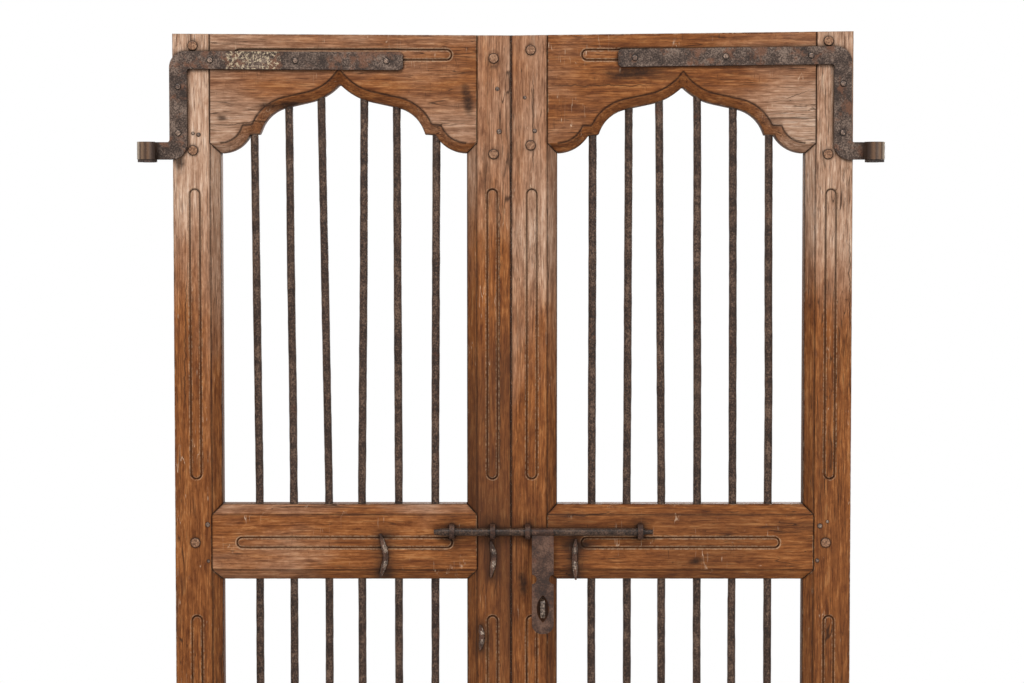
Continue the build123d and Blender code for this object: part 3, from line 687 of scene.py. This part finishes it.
def edge_distance(cells, x, z):
    """Distance of each grid corner from the outline, for the first few millimetres."""
    rows, columns = x.shape
    inside = np.zeros((rows, columns), int)
    for i in (0, 1):
        for j in (0, 1):
            inside[i:rows - 1 + i, j:columns - 1 + j] += cells
    rim = (inside > 0) & (inside < 4)
    distance = np.where(rim, 0.0, 1.0)
    for _ in range(rim_rings):
        for axis in (0, 1):
            for turn in (1, -1):
                step = np.hypot(x - np.roll(x, turn, axis), z - np.roll(z, turn, axis))
                distance = np.minimum(distance, np.roll(distance, turn, axis) + step)
    return distance


def dress(piece, node, body, material):
    """Puts a piece in the place of a node."""
    piece.data.materials.append(material)
    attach(piece, body)
    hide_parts(node)


class Leaf:
    """The lines of one leaf, read from its nodes."""

    def __init__(self, name, side, rail_gap, seed):
        self.name = name
        self.side = side
        self.body = f"{name}_leaf"
        self.rail_gap = rail_gap
        self.seed = seed
        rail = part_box(f"{name}_middle_rail")
        self.low_joint = rail[0].x + tenon_length
        self.high_joint = rail[1].x - tenon_length
        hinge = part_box(f"{name}_hinge_stile")
        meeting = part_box(f"{name}_meeting_stile")
        self.hinge_edge = hinge[0].x if side < 0 else hinge[1].x
        self.meeting_edge = meeting[1].x if side < 0 else meeting[0].x
        self.rise = hinge[1].z - leaf_height
        self.hinge_joint = self.low_joint if side < 0 else self.high_joint
        self.meeting_joint = self.high_joint if side < 0 else self.low_joint
        owned = frame["record"]["behaviour"]["bodies"][self.body]
        self.iron = [n for n in owned if "staple" in n or "split_pin" in n]

    def top(self, x):
        return leaf_height + self.rise * (x - self.meeting_edge) / (self.hinge_edge - self.meeting_edge)

    def peg_ring(self, x, z):
        """The dark ring of the hole round each peg."""
        ring = np.zeros_like(x)
        for level in ("top", "middle", "bottom"):
            points = np.array([v.co for v in nodes[f"{self.name}_{level}_pegs"].data.vertices])
            crown = points[points[:, 1] < front_y - peg_rise]
            cells = np.round(crown[:, [0, 2]] / (5 * peg_radius))
            for cell in np.unique(cells, axis=0):
                near = crown[(cells == cell).all(1)]
                away = np.hypot(x - near[:, 0].mean(), z - near[:, 2].mean())
                ring = np.maximum(ring, np.clip(1 - np.abs(away - peg_radius) / peg_ring_reach, 0, 1))
        return ring

    def stain(self, x, z):
        """How far rust and grease have darkened the wood round the iron on its face."""
        dark = np.zeros_like(x)
        for name in self.iron:
            low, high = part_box(name)
            aside = np.maximum(np.maximum(low.x - x, x - high.x), 0)
            above = np.maximum(np.maximum(low.z - z, z - high.z), 0)
            dark = np.maximum(dark, np.clip(1 - np.hypot(aside, above) / stain_reach, 0, 1) ** 1.5)
        return dark

    def smudge(self, x, z):
        """Scorched and greasy marks with ragged outlines."""
        dark = np.zeros_like(x)
        ragged = 0.35 * value_noise(x, z, 0.012, 0.004, self.seed)
        for place_x, place_z, half_length, half_width, tilt in smudges[self.name]:
            along = (x - place_x) * math.cos(tilt) + (z - place_z) * math.sin(tilt)
            across = (z - place_z) * math.cos(tilt) - (x - place_x) * math.sin(tilt)
            share = 1.5 + ragged - 1.2 * np.hypot(along / half_length, across / half_width)
            dark = np.maximum(dark, np.clip(share, 0, 1))
        return dark


# Dark marks on the wood: place across and up, half length, half width, tilt
smudges = {
    "left": (
        (-0.388, 1.789, 0.028, 0.006, 0.05),
        (-0.360, 1.790, 0.030, 0.006, 0.15),
        (-0.462, 1.769, 0.011, 0.005, -0.3),
        (-0.530, 1.699, 0.009, 0.016, 0.0),
        (-0.070, 1.800, 0.009, 0.030, 0.2),
    ),
    "right": (
        (0.298, 1.056, 0.012, 0.006, 0.2),
        (0.019, 1.020, 0.007, 0.022, 0.1),
        (0.192, 1.840, 0.050, 0.012, 0.0),
        (0.110, 1.082, 0.030, 0.010, 0.0),
        (0.051, 0.981, 0.014, 0.028, 0.0),
    ),
}

left = Leaf("left", side=-1, rail_gap=0.040, seed=11)
right = Leaf("right", side=1, rail_gap=0.055, seed=47)


def finish_wood(leaf, name, x, z, back_x, depth, cells, dirt_and_shade, tone, wear_and_painted_reflection, material, seed):
    """Adds wear, dirt and painted shade to a wooden member's grid, and makes its mesh and marks."""
    rim = edge_distance(cells, x, z)
    chip = 0.5 + 0.5 * value_noise(x, z, 0.011, 0.017, seed)
    chip = chip + 0.5 * value_noise(x, z, 0.0035, 0.005, seed + 1)
    rounding = edge_round * np.clip(1 - rim / (edge_round * (0.8 + np.clip(chip, 0, 1))), 0, 1) ** 2
    wander = broad_wander * value_noise(x, z, 0.06, 0.09, seed + 2)
    wander = wander + fine_wander * value_noise(x, z, 0.012, 0.02, seed + 3)
    front_depth = depth + rounding * (0.6 + np.clip(chip, 0, 1.2)) + wander + face_sink
    back_depth = rounding + back_sink + np.abs(wander)
    wear = np.clip(1 - rim / wear_reach, 0, 1) * np.clip(chip + 0.3, 0, 1)
    # Painted shade along the gap between the leaves, on the face, the back and the walls.
    meeting_line = np.clip(1 - np.abs(x - leaf.meeting_edge) / meeting_shade_reach, 0, 1)
    wear = wear * (meeting_line == 0)
    low_on_chamfer = depth > 0.6 * chamfer
    # Painted shade along the outline, strongest at the low edge of the chamfers, where the walls of the
    # openings turn away from the light.
    rim_shade = np.clip(1 - rim / rim_shade_reach, 0, 1) * np.where(low_on_chamfer, 0.85, 0.3)
    dirt_and_shade = dirt_and_shade + 0.95 * meeting_line + 0.7 * leaf.peg_ring(x, z) + rim_shade
    dirt_and_shade = np.maximum(dirt_and_shade, 0.9 * leaf.smudge(x, z))
    # The back and the walls get a little dirt all over, with painted shade along the gap between the leaves,
    # along the rims and on the walls of the openings.
    back_dirt_and_shade = 0.15 + meeting_line + rim_shade
    wall_dirt_and_shade = 0.2 + 0.35 * low_on_chamfer + 0.5 * meeting_line
    marks = {
        "dirt_and_shade": [np.clip(values, 0, 1) for values in (dirt_and_shade, back_dirt_and_shade, wall_dirt_and_shade)],
        "wear": (np.maximum(wear, wear_and_painted_reflection), wear, 0 * wear),
        "tone": (tone, tone - 0.15, tone - 0.1),
        "stain": (0.85 * leaf.stain(x, z), 0 * x, 0 * x),
    }
    piece = make_shell(f"{name}_wood", x, z, back_x, front_depth, back_depth, cells, marks)
    dress(piece, name, leaf.body, material)


def quirk(distance):
    """The narrow sunk line along the head of a chamfer."""
    return np.clip(1 - np.abs(distance) / quirk_half, 0, 1)


def make_stile(leaf, which, material, seed):
    """An upright with a bead above and below the middle rail, and a chamfer along each opening."""
    name = f"{leaf.name}_{which}_stile"
    if which == "hinge":
        edge, joint = leaf.hinge_edge, leaf.hinge_joint
    else:
        edge, joint = leaf.meeting_edge, leaf.meeting_joint
    inward = 1 if joint > edge else -1
    if which == "meeting":
        edge -= inward * meeting_swell
    inner = joint + inward * chamfer
    bead_x = joint - inward * bead_inset
    zones = ((bottom_high, middle_low), (middle_high, spring_z))
    beads = []
    for low, high in zones:
        foot = low + bead_foot_gap + bead_radius
        head = high - bead_head_gap - bead_radius
        beads.append(Bead((bead_x, foot), (bead_x, head)))
    x_fine = beads[0].zones(0) + [(joint - 2 * quirk_half, joint + 2 * quirk_half)]
    xs = steps(min(edge, inner), max(edge, inner), coarse_step, *x_fine)
    xs = np.unique(np.append(xs, [joint]))
    z_fine = [zone for bead in beads for zone in bead.zones(1)]
    ends = [end for low, high in zones for end in (low - chamfer, high + chamfer)]
    zs = np.unique(np.append(steps(0.0, leaf_height, long_step, *z_fine), ends))
    x, z = np.meshgrid(xs, zs)
    centre_x = (x[:-1, :-1] + x[1:, 1:]) / 2
    centre_z = (z[:-1, :-1] + z[1:, 1:]) / 2
    in_strip = (centre_x - joint) * inward > 0
    open_rows = np.zeros_like(in_strip)
    for low, high in zones:
        open_rows |= (centre_z > low - chamfer) & (centre_z < high + chamfer)
    cells = ~in_strip | open_rows
    across = np.clip((x - joint) * inward / chamfer, 0, 1)
    shifted = z.copy()
    for low, high in zones:
        foot = low - chamfer
        head = high + chamfer
        halfway = (low + high) / 2
        from_low = np.clip(1 - (z - foot) / mitre_run, 0, 1) * (z >= foot - tiny) * (z < halfway)
        from_high = np.clip(1 - (head - z) / mitre_run, 0, 1) * (z <= head + tiny) * (z > halfway)
        shifted += chamfer * across * (from_low - from_high)
    at_top = np.clip((z - spring_z - chamfer) / (leaf_height - spring_z - chamfer), 0, 1)
    shifted += at_top * (leaf.top(x) - leaf_height)
    depth = chamfer * across
    groove = np.maximum(beads[0].groove(x, shifted), beads[1].groove(x, shifted))
    crown = beads[0].crown(x, shifted) + beads[1].crown(x, shifted)
    wear_and_painted_reflection = 0.8 * np.maximum(beads[0].rims(x, shifted), beads[1].rims(x, shifted))
    line = quirk(x - joint)
    depth = depth + groove_depth * groove + crown_drop * crown + quirk_depth * line
    # Darker in the grooves, more so higher up the leaf. Painted shade in the quirk line, over the whole
    # chamfer, and where the bead rounds away.
    groove_darkening = 0.35 + 0.35 * np.clip((shifted - groove_darkening_low) / groove_darkening_rise, 0, 1)
    dirt_and_shade = groove_darkening * groove + 0.75 * line + 0.12 * crown + 0.2 * (across > 0)
    bevel = meeting_bevel if which == "meeting" else 0
    back_x = x + inward * bevel * np.clip(1 - np.abs(x - edge) / abs(joint - edge), 0, 1)
    tone = np.interp(shifted, *zip(*tones[leaf.name][which]))
    finish_wood(leaf, name, x, shifted, back_x, depth, cells, dirt_and_shade, tone, wear_and_painted_reflection, material, seed)


def make_rail(leaf, which, low, high, bead_z, low_chamfer, material, seed):
    """A straight rail with one bead. Its chamfers are mitred into those of the stiles."""
    name = f"{leaf.name}_{which}_rail"
    start, end = leaf.low_joint, leaf.high_joint
    reach = leaf.rail_gap + bead_radius
    bead = Bead((start + reach, bead_z), (end - reach, bead_z))
    heads = [high - chamfer] + ([low + chamfer] if low_chamfer else [])
    z_fine = bead.zones(1) + [(h - 2 * quirk_half, h + 2 * quirk_half) for h in heads]
    xs = steps(start, end, long_step, *bead.zones(0))
    zs = np.unique(np.append(steps(low, high, coarse_step, *z_fine), heads))
    x, z = np.meshgrid(xs, zs)
    inset = np.clip(z - (high - chamfer), 0, None)
    if low_chamfer:
        inset = inset + np.clip(low + chamfer - z, 0, None)
    share = (x - start) / (end - start)
    x = start + inset + share * (end - start - 2 * inset)
    cells = np.ones((len(zs) - 1, len(xs) - 1), bool)
    groove = bead.groove(x, z)
    crown = bead.crown(x, z)
    wear_and_painted_reflection = 0.9 * bead.rims(x, z)
    line = sum(quirk(z - h) for h in heads)
    joint_line = np.clip(1 - np.minimum(x - start - inset, end - inset - x) / joint_dirt_reach, 0, 1)
    depth = inset + groove_depth * groove + crown_drop * crown + quirk_depth * line
    # Darker in the groove, painted shade in the quirk lines and where the bead rounds away, and dark joints
    # at the ends.
    dirt_and_shade = 0.4 * groove + 0.7 * line + 0.1 * crown + 0.35 * joint_line
    # Painted light: the upper chamfer, which faces up, is made paler.
    painted_top_light = 0.25 * np.clip((z - high + chamfer) / top_light_reach, 0, 1)
    tone = np.interp(x, *zip(*tones[leaf.name][which])) + painted_top_light
    finish_wood(leaf, name, x, z, x, depth, cells, dirt_and_shade, tone, wear_and_painted_reflection, material, seed)


def make_top_rail(leaf, material, seed):
    """The arched rail. Its arch is found by looking up at the CAD rail from below."""
    name = f"{leaf.name}_top_rail"
    tree = BVHTree.FromObject(nodes[name], bpy.context.evaluated_depsgraph_get())
    start, end = leaf.low_joint, leaf.high_joint
    bead_z = leaf_height - top_bead_drop
    reach = leaf.rail_gap + bead_radius
    bead = Bead((start + reach, bead_z), (end - reach, bead_z))
    xs = steps(start, end, arch_step, *bead.zones(0))

    def edge_above(x, y):
        hit = tree.ray_cast(Vector((x, y, spring_z - arch_look_drop)), Vector((0, 0, 1)))[0]
        return hit.z if hit else spring_z

    inside = np.clip(xs, start + sliver, end - sliver)
    edge = np.array([edge_above(x, back_y - arch_look_inset) for x in inside])
    head = np.array([edge_above(x, front_y + sliver) for x in inside])
    mitre = np.maximum(start + chamfer - xs, xs - end + chamfer)
    edge = np.where(mitre > 0, spring_z + mitre, edge)
    head = np.maximum(head, edge + sliver)
    chamfer_shares = np.array([0.0, 0.04, 0.12, 0.25, 0.4, 0.55, 0.7, 0.85, 0.93, 1.0])
    face_shares = np.unique(np.concatenate([[0, 0.008, 0.016], np.linspace(0.03, 1, 34)]))
    top = leaf.top(xs)
    rows = [edge + s * (head - edge) for s in chamfer_shares]
    bead_low = bead_z - bead_radius - 2 * groove_half
    bead_high = bead_z + bead_radius + 2 * groove_half
    rows += [head + s * (bead_low - head) for s in face_shares[1:]]
    rows += [np.full_like(head, h) for h in np.linspace(bead_low, bead_high, 20)[1:]]
    rows += [bead_high + s * (top - bead_high) for s in (0.2, 0.4, 0.6, 0.8, 0.9, 0.96, 1.0)]
    z = np.array(rows)
    x = np.tile(xs, (len(rows), 1))
    cells = np.ones((len(rows) - 1, len(xs) - 1), bool)
    slope = np.array([1 - s for s in chamfer_shares] + [0.0] * (len(rows) - len(chamfer_shares)))
    width = np.clip((head - edge) / chamfer, 0, 1)
    depth = chamfer * slope[:, None] * width[None, :]
    steepness = np.hypot(1, np.clip(np.gradient(head, xs), -5, 5))
    line = quirk((z - head[None, :]) / steepness[None, :]) * (mitre < 0)[None, :]
    groove = bead.groove(x, z)
    crown = bead.crown(x, z)
    wear_and_painted_reflection = 0.9 * bead.rims(x, z)
    joint_line = np.clip(1 - np.minimum(x - start, end - x) / joint_dirt_reach, 0, 1)
    depth = depth + groove_depth * groove + crown_drop * crown + quirk_depth * line
    # Darker in the groove, painted shade in the quirk line and where the bead rounds away, dark joints at
    # the ends, and a little darker all over.
    dirt_and_shade = 0.75 * groove + 0.95 * line + 0.12 * crown + 0.35 * joint_line + 0.12
    corner = np.clip(1 - np.abs(x - leaf.hinge_joint) / pale_corner_width, 0, 1)
    corner = corner * np.clip((leaf_height - pale_corner_drop - z) / pale_corner_height, 0, 1)
    # Painted shade: the arch's chamfer, which faces down, is given a deeper, darker tone.
    tone = np.interp(x, *zip(*tones[leaf.name]["top"])) + 0.4 * corner - 0.2 * (slope[:, None] > 0)
    finish_wood(leaf, name, x, z, x, depth, cells, dirt_and_shade, tone, wear_and_painted_reflection, material, seed)


def make_bar(leaf, index, material):
    """A forged bar that leans a little above the middle rail, uneven from the hammer."""
    name = f"{leaf.name}_bar_{index}"
    points = np.array([v.co for v in nodes[name].data.vertices])
    low, high = points[:, 2].min(), points[:, 2].max()
    foot = points[points[:, 2] < low + end_reach].mean(0)
    top = points[points[:, 2] > high - end_reach].mean(0)
    bend = middle_high + bar_bend_rise
    levels = np.arange(low, high + bar_step / 2, bar_step)
    levels[-1] = high
    lean = np.clip((levels - bend) / (high - bend), 0, 1)
    seed = leaf.seed * 10 + index
    bow = bar_bow * value_noise(levels, levels * 0, 0.19, 1, seed)
    sway = bar_sway * value_noise(levels, levels * 0, 0.17, 1, seed + 5)
    centre_x = foot[0] + lean * (top[0] - foot[0]) + bow
    centre_y = foot[1] + sway
    angle = np.arange(bar_sides) * 2 * math.pi / bar_sides
    turn, level = np.meshgrid(angle, levels)
    lump = value_noise(turn * bar_radius, level, 0.006, 0.011, seed + 9)
    swell = value_noise(turn * 0, level, 1, 0.035, seed + 13)
    radius = bar_radius + bar_lump * lump + bar_swell * swell
    x = centre_x[:, None] + radius * np.cos(turn)
    y = centre_y[:, None] + radius * np.sin(turn)
    vertices = np.stack([x, y, level], -1).reshape(-1, 3)
    piece = add_piece(f"{name}_iron", vertices.tolist(), tube_faces(0, len(levels), bar_sides), True)
    dress(piece, name, leaf.body, material)


# How bleached each member is along it: 1 pale and grey, 0 deep brown, below 0 darkened by handling
tones = {
    "left": {
        "hinge": ((1.25, 0.0), (1.45, 0.3), (1.65, 0.9), (1.90, 0.7)),
        "meeting": ((0.90, -0.3), (1.10, -0.6), (1.35, -0.4), (1.60, 0.3), (1.70, 0.55), (1.90, 0.45)),
        "top": ((-0.46, 0.45), (-0.30, 0.25), (-0.15, 0.25), (-0.05, 0.2)),
        "middle": ((-0.44, 0.2), (-0.30, 0.1), (-0.22, -0.1), (-0.14, 0.15), (-0.09, -0.1)),
        "bottom": ((-0.44, 0.05), (-0.09, -0.1)),
    },
    "right": {
        "hinge": ((1.10, -0.2), (1.35, -0.05), (1.57, 0.7), (1.67, 0.75), (1.85, 0.5)),
        "meeting": ((0.90, -0.45), (1.05, -0.65), (1.25, 0.1), (1.57, 0.6), (1.68, 0.45), (1.90, 0.3)),
        "top": ((0.09, 0.15), (0.20, -0.2), (0.32, 0.05), (0.45, 0.45)),
        "middle": ((0.09, -0.6), (0.15, -0.3), (0.27, -0.45), (0.45, -0.2)),
        "bottom": ((0.09, -0.1), (0.45, 0.05)),
    },
}
# Cracks, each from a start to an end along the grain, at a place across it, with a slope
stile_cracks = {
    "left": ((1.20, 1.66, -0.024, 0.0), (1.30, 1.52, -0.531, 0.02), (0.60, 0.95, -0.505, 0.0)),
    "right": ((1.42, 1.60, 0.539, -0.01), (0.55, 0.93, 0.020, 0.0), (1.68, 1.85, 0.030, 0.0)),
}
rail_cracks = {
    "left": ((-0.46, -0.34, 1.752, 0.10), (-0.20, -0.08, 1.071, -0.03)),
    "right": ((0.059, 0.238, 1.815, 0.0), (0.430, 0.490, 1.791, 0.34), (0.07, 0.19, 1.122, 0.06)),
}
middle_z = (middle_low + middle_high) / 2
for leaf in (left, right):
    seed = leaf.seed
    stile_shift = (leaf.side * 0.37, 0.2, 0.11)
    rail_shift = (0.13, 0.4, leaf.side * 0.29)
    upright = make_teak(f"{leaf.name}_stile_teak", "Z", stile_shift, stile_cracks[leaf.name])
    level = make_teak(f"{leaf.name}_rail_teak", "X", rail_shift, rail_cracks[leaf.name])
    make_stile(leaf, "hinge", upright, seed + 1)
    make_stile(leaf, "meeting", upright, seed + 7)
    make_rail(leaf, "middle", middle_low, middle_high, middle_z, True, level, seed + 13)
    make_rail(leaf, "bottom", 0.0, bottom_high, bottom_bead_height, False, level, seed + 19)
    make_top_rail(leaf, level, seed + 25)
    for index in range(1, bar_count + 1):
        make_bar(leaf, index, materials["bar_iron"])

# The nodes that stay: the slot that a word in the name stands for, and the looks that differ from the slot's
slot_words = (
    ("strap", "strap_iron"),
    ("pegs", "peg_wood"),
    ("pintle", "pintle_iron"),
    ("staple", "lock_iron"),
    ("split_pin", "lock_iron"),
    ("bolt_rod", "lock_iron"),
    ("hasp", "lock_iron"),
)
looks = {"bolt_rod": "bolt_iron", "hasp_staple": "clench_iron"}
for name, node in nodes.items():
    if node.hide_render:
        continue
    slot = next(slot for word, slot in slot_words if word in name)
    look = "nail_iron" if name.endswith("nails") else looks.get(name, slot)
    node.data.materials.clear()
    node.data.materials.append(materials[look])
    if slot != "peg_wood":
        bevel = node.modifiers.new("worn_edges", "BEVEL")
        bevel.width = strap_bevel if look == "strap_iron" else small_bevel
        bevel.segments = 2
        bevel.limit_method = "ANGLE"
        bevel.angle_limit = bevel_angle


def make_small_nails(leaf, places):
    """Old nail heads driven nearly flush with the face, given by their places across and up the leaf."""
    # Shares of the head's radius and height, from below the face to the crown
    rings = ((1.0, -0.5), (1.0, 0.25), (0.72, 0.7), (0.3, 0.85))
    vertices = []
    faces = []
    for number, (x, z) in enumerate(places):
        radius = small_nail_radius + small_nail_growth * (number % 3)
        faces += tube_faces(len(vertices), len(rings), nail_sides)
        for share, lift in rings:
            reach = share * radius
            y = front_y - small_nail_height * lift
            for k in range(nail_sides):
                angle = 2 * math.pi * k / nail_sides
                vertices.append((x + reach * math.cos(angle), y, z + reach * math.sin(angle)))
    nails = add_piece(f"{leaf.name}_small_nails", vertices, faces, True)
    nails.data.materials.append(materials["nail_iron"])
    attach(nails, leaf.body)


left_nails = (
    (-0.509, 1.744),
    (-0.500, 1.742),
    (-0.489, 1.115),
    (-0.488, 1.056),
    (-0.022, 1.815),
    (-0.019, 1.747),
)
right_nails = (
    (0.022, 1.801),
    (0.038, 1.748),
    (0.498, 1.113),
    (0.510, 1.120),
    (0.494, 1.057),
)
make_small_nails(left, left_nails)
make_small_nails(right, right_nails)


def make_clench(leaf, name):
    """The two hammered legs of a split pin, spread flat on the face from the pin's hole to its tips."""
    points = np.array([v.co for v in nodes[name].data.vertices])
    points = points[points[:, 1] < front_y + clench_reach][:, [0, 2]]
    heights = points[:, 1]
    at_top = heights > heights.max() - end_reach
    at_foot = heights < heights.min() + end_reach
    middle = points[~at_top & ~at_foot].mean(0)
    # Shares of a leg's full width and height, from the hole to the tip
    profile = (0.55, 0.85, 1.0, 1.0, 0.92, 0.84, 0.72, 0.58, 0.42, 0.2)
    stations = np.linspace(clench_start, 1, len(profile))
    turns = np.linspace(0, math.pi, 6)
    vertices = []
    faces = []
    for tip in (points[at_top].mean(0), points[at_foot].mean(0)):
        along = tip - middle
        side = np.array([-along[1], along[0]]) / np.hypot(*along)
        faces += tube_faces(len(vertices), len(profile), len(turns))
        for station, share in zip(stations, profile):
            for turn in turns:
                x, z = middle + along * station + side * clench_half * share * math.cos(turn)
                sunk = clench_sink if turn in (turns[0], turns[-1]) else 0
                vertices.append((x, front_y + sunk - clench_height * share * math.sin(turn), z))
    legs = add_piece(f"{name}_legs", vertices, faces, False)
    legs.data.materials.append(materials["clench_iron"])
    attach(legs, leaf.body)


for leaf in (left, right):
    for name in leaf.iron:
        if "split_pin" in name:
            make_clench(leaf, name)

# Floor, light and camera
floor_radius = 3.2
floor_sides = 96
floor_z = -0.012
floor_points = [
    (floor_radius * math.cos(a), floor_radius * math.sin(a), floor_z)
    for a in np.linspace(0, 2 * math.pi, floor_sides, endpoint=False)
]
floor = add_piece("floor", floor_points, [tuple(range(len(floor_points)))], False)
floor.data.materials.append(Graph("pale_floor").finish(srgb(238, 237, 235), 0.9, 0.0, 0.2))

# White to the eye and in reflections, dimmer as a light, and dimmest from behind
front_light = 0.66
back_light = 0.24
world = bpy.data.worlds.new("studio")
scene.world = world
world.use_nodes = True
links = world.node_tree.links
background = world.node_tree.nodes["Background"]
rays = world.node_tree.nodes.new("ShaderNodeLightPath")
seen = world.node_tree.nodes.new("ShaderNodeMath")
seen.operation = "MAXIMUM"
links.new(rays.outputs["Is Camera Ray"], seen.inputs[0])
links.new(rays.outputs["Is Glossy Ray"], seen.inputs[1])
level = world.node_tree.nodes.new("ShaderNodeMapRange")
level.inputs["To Max"].default_value = 1.0
links.new(seen.outputs[0], level.inputs["Value"])
direction = world.node_tree.nodes.new("ShaderNodeSeparateXYZ")
links.new(world.node_tree.nodes.new("ShaderNodeTexCoord").outputs["Generated"], direction.inputs[0])
frontal = world.node_tree.nodes.new("ShaderNodeMapRange")
frontal.inputs["From Min"].default_value = -1
frontal.inputs["From Max"].default_value = 1
frontal.inputs["To Min"].default_value = front_light
frontal.inputs["To Max"].default_value = back_light
links.new(direction.outputs["Y"], frontal.inputs["Value"])
links.new(frontal.outputs[0], level.inputs["To Min"])
background.inputs["Color"].default_value = (1, 1, 1, 1)
links.new(level.outputs[0], background.inputs["Strength"])


def add_softbox(name, place, size, power):
    lamp = bpy.data.lights.new(name, "AREA")
    lamp.size = size
    lamp.energy = power
    box = bpy.data.objects.new(name, lamp)
    box.location = place
    box.rotation_euler = (door_middle - Vector(place)).to_track_quat("-Z", "Y").to_euler()
    scene.collection.objects.link(box)


door_middle = Vector((0, 0, 1.2))
add_softbox("key", place=(-0.9, -2.7, 4.0), size=1.3, power=105)
add_softbox("fill", place=(1.9, -3.2, 1.7), size=2.0, power=34)
add_softbox("back", place=(0.8, 3.2, 2.6), size=2.0, power=110)

camera_x = 0.0016
camera_distance = 4.012
eye_level = 1.6034
camera_tilt = math.radians(90 - 2.75)
lens = bpy.data.cameras.new("camera")
lens.sensor_width = 36
lens.lens = 87.9
camera = bpy.data.objects.new("camera", lens)
camera.location = (camera_x, front_y - camera_distance, eye_level)
camera.rotation_euler = (camera_tilt, 0, 0)
scene.collection.objects.link(camera)
scene.camera = camera
scene.view_settings.view_transform = "Standard"
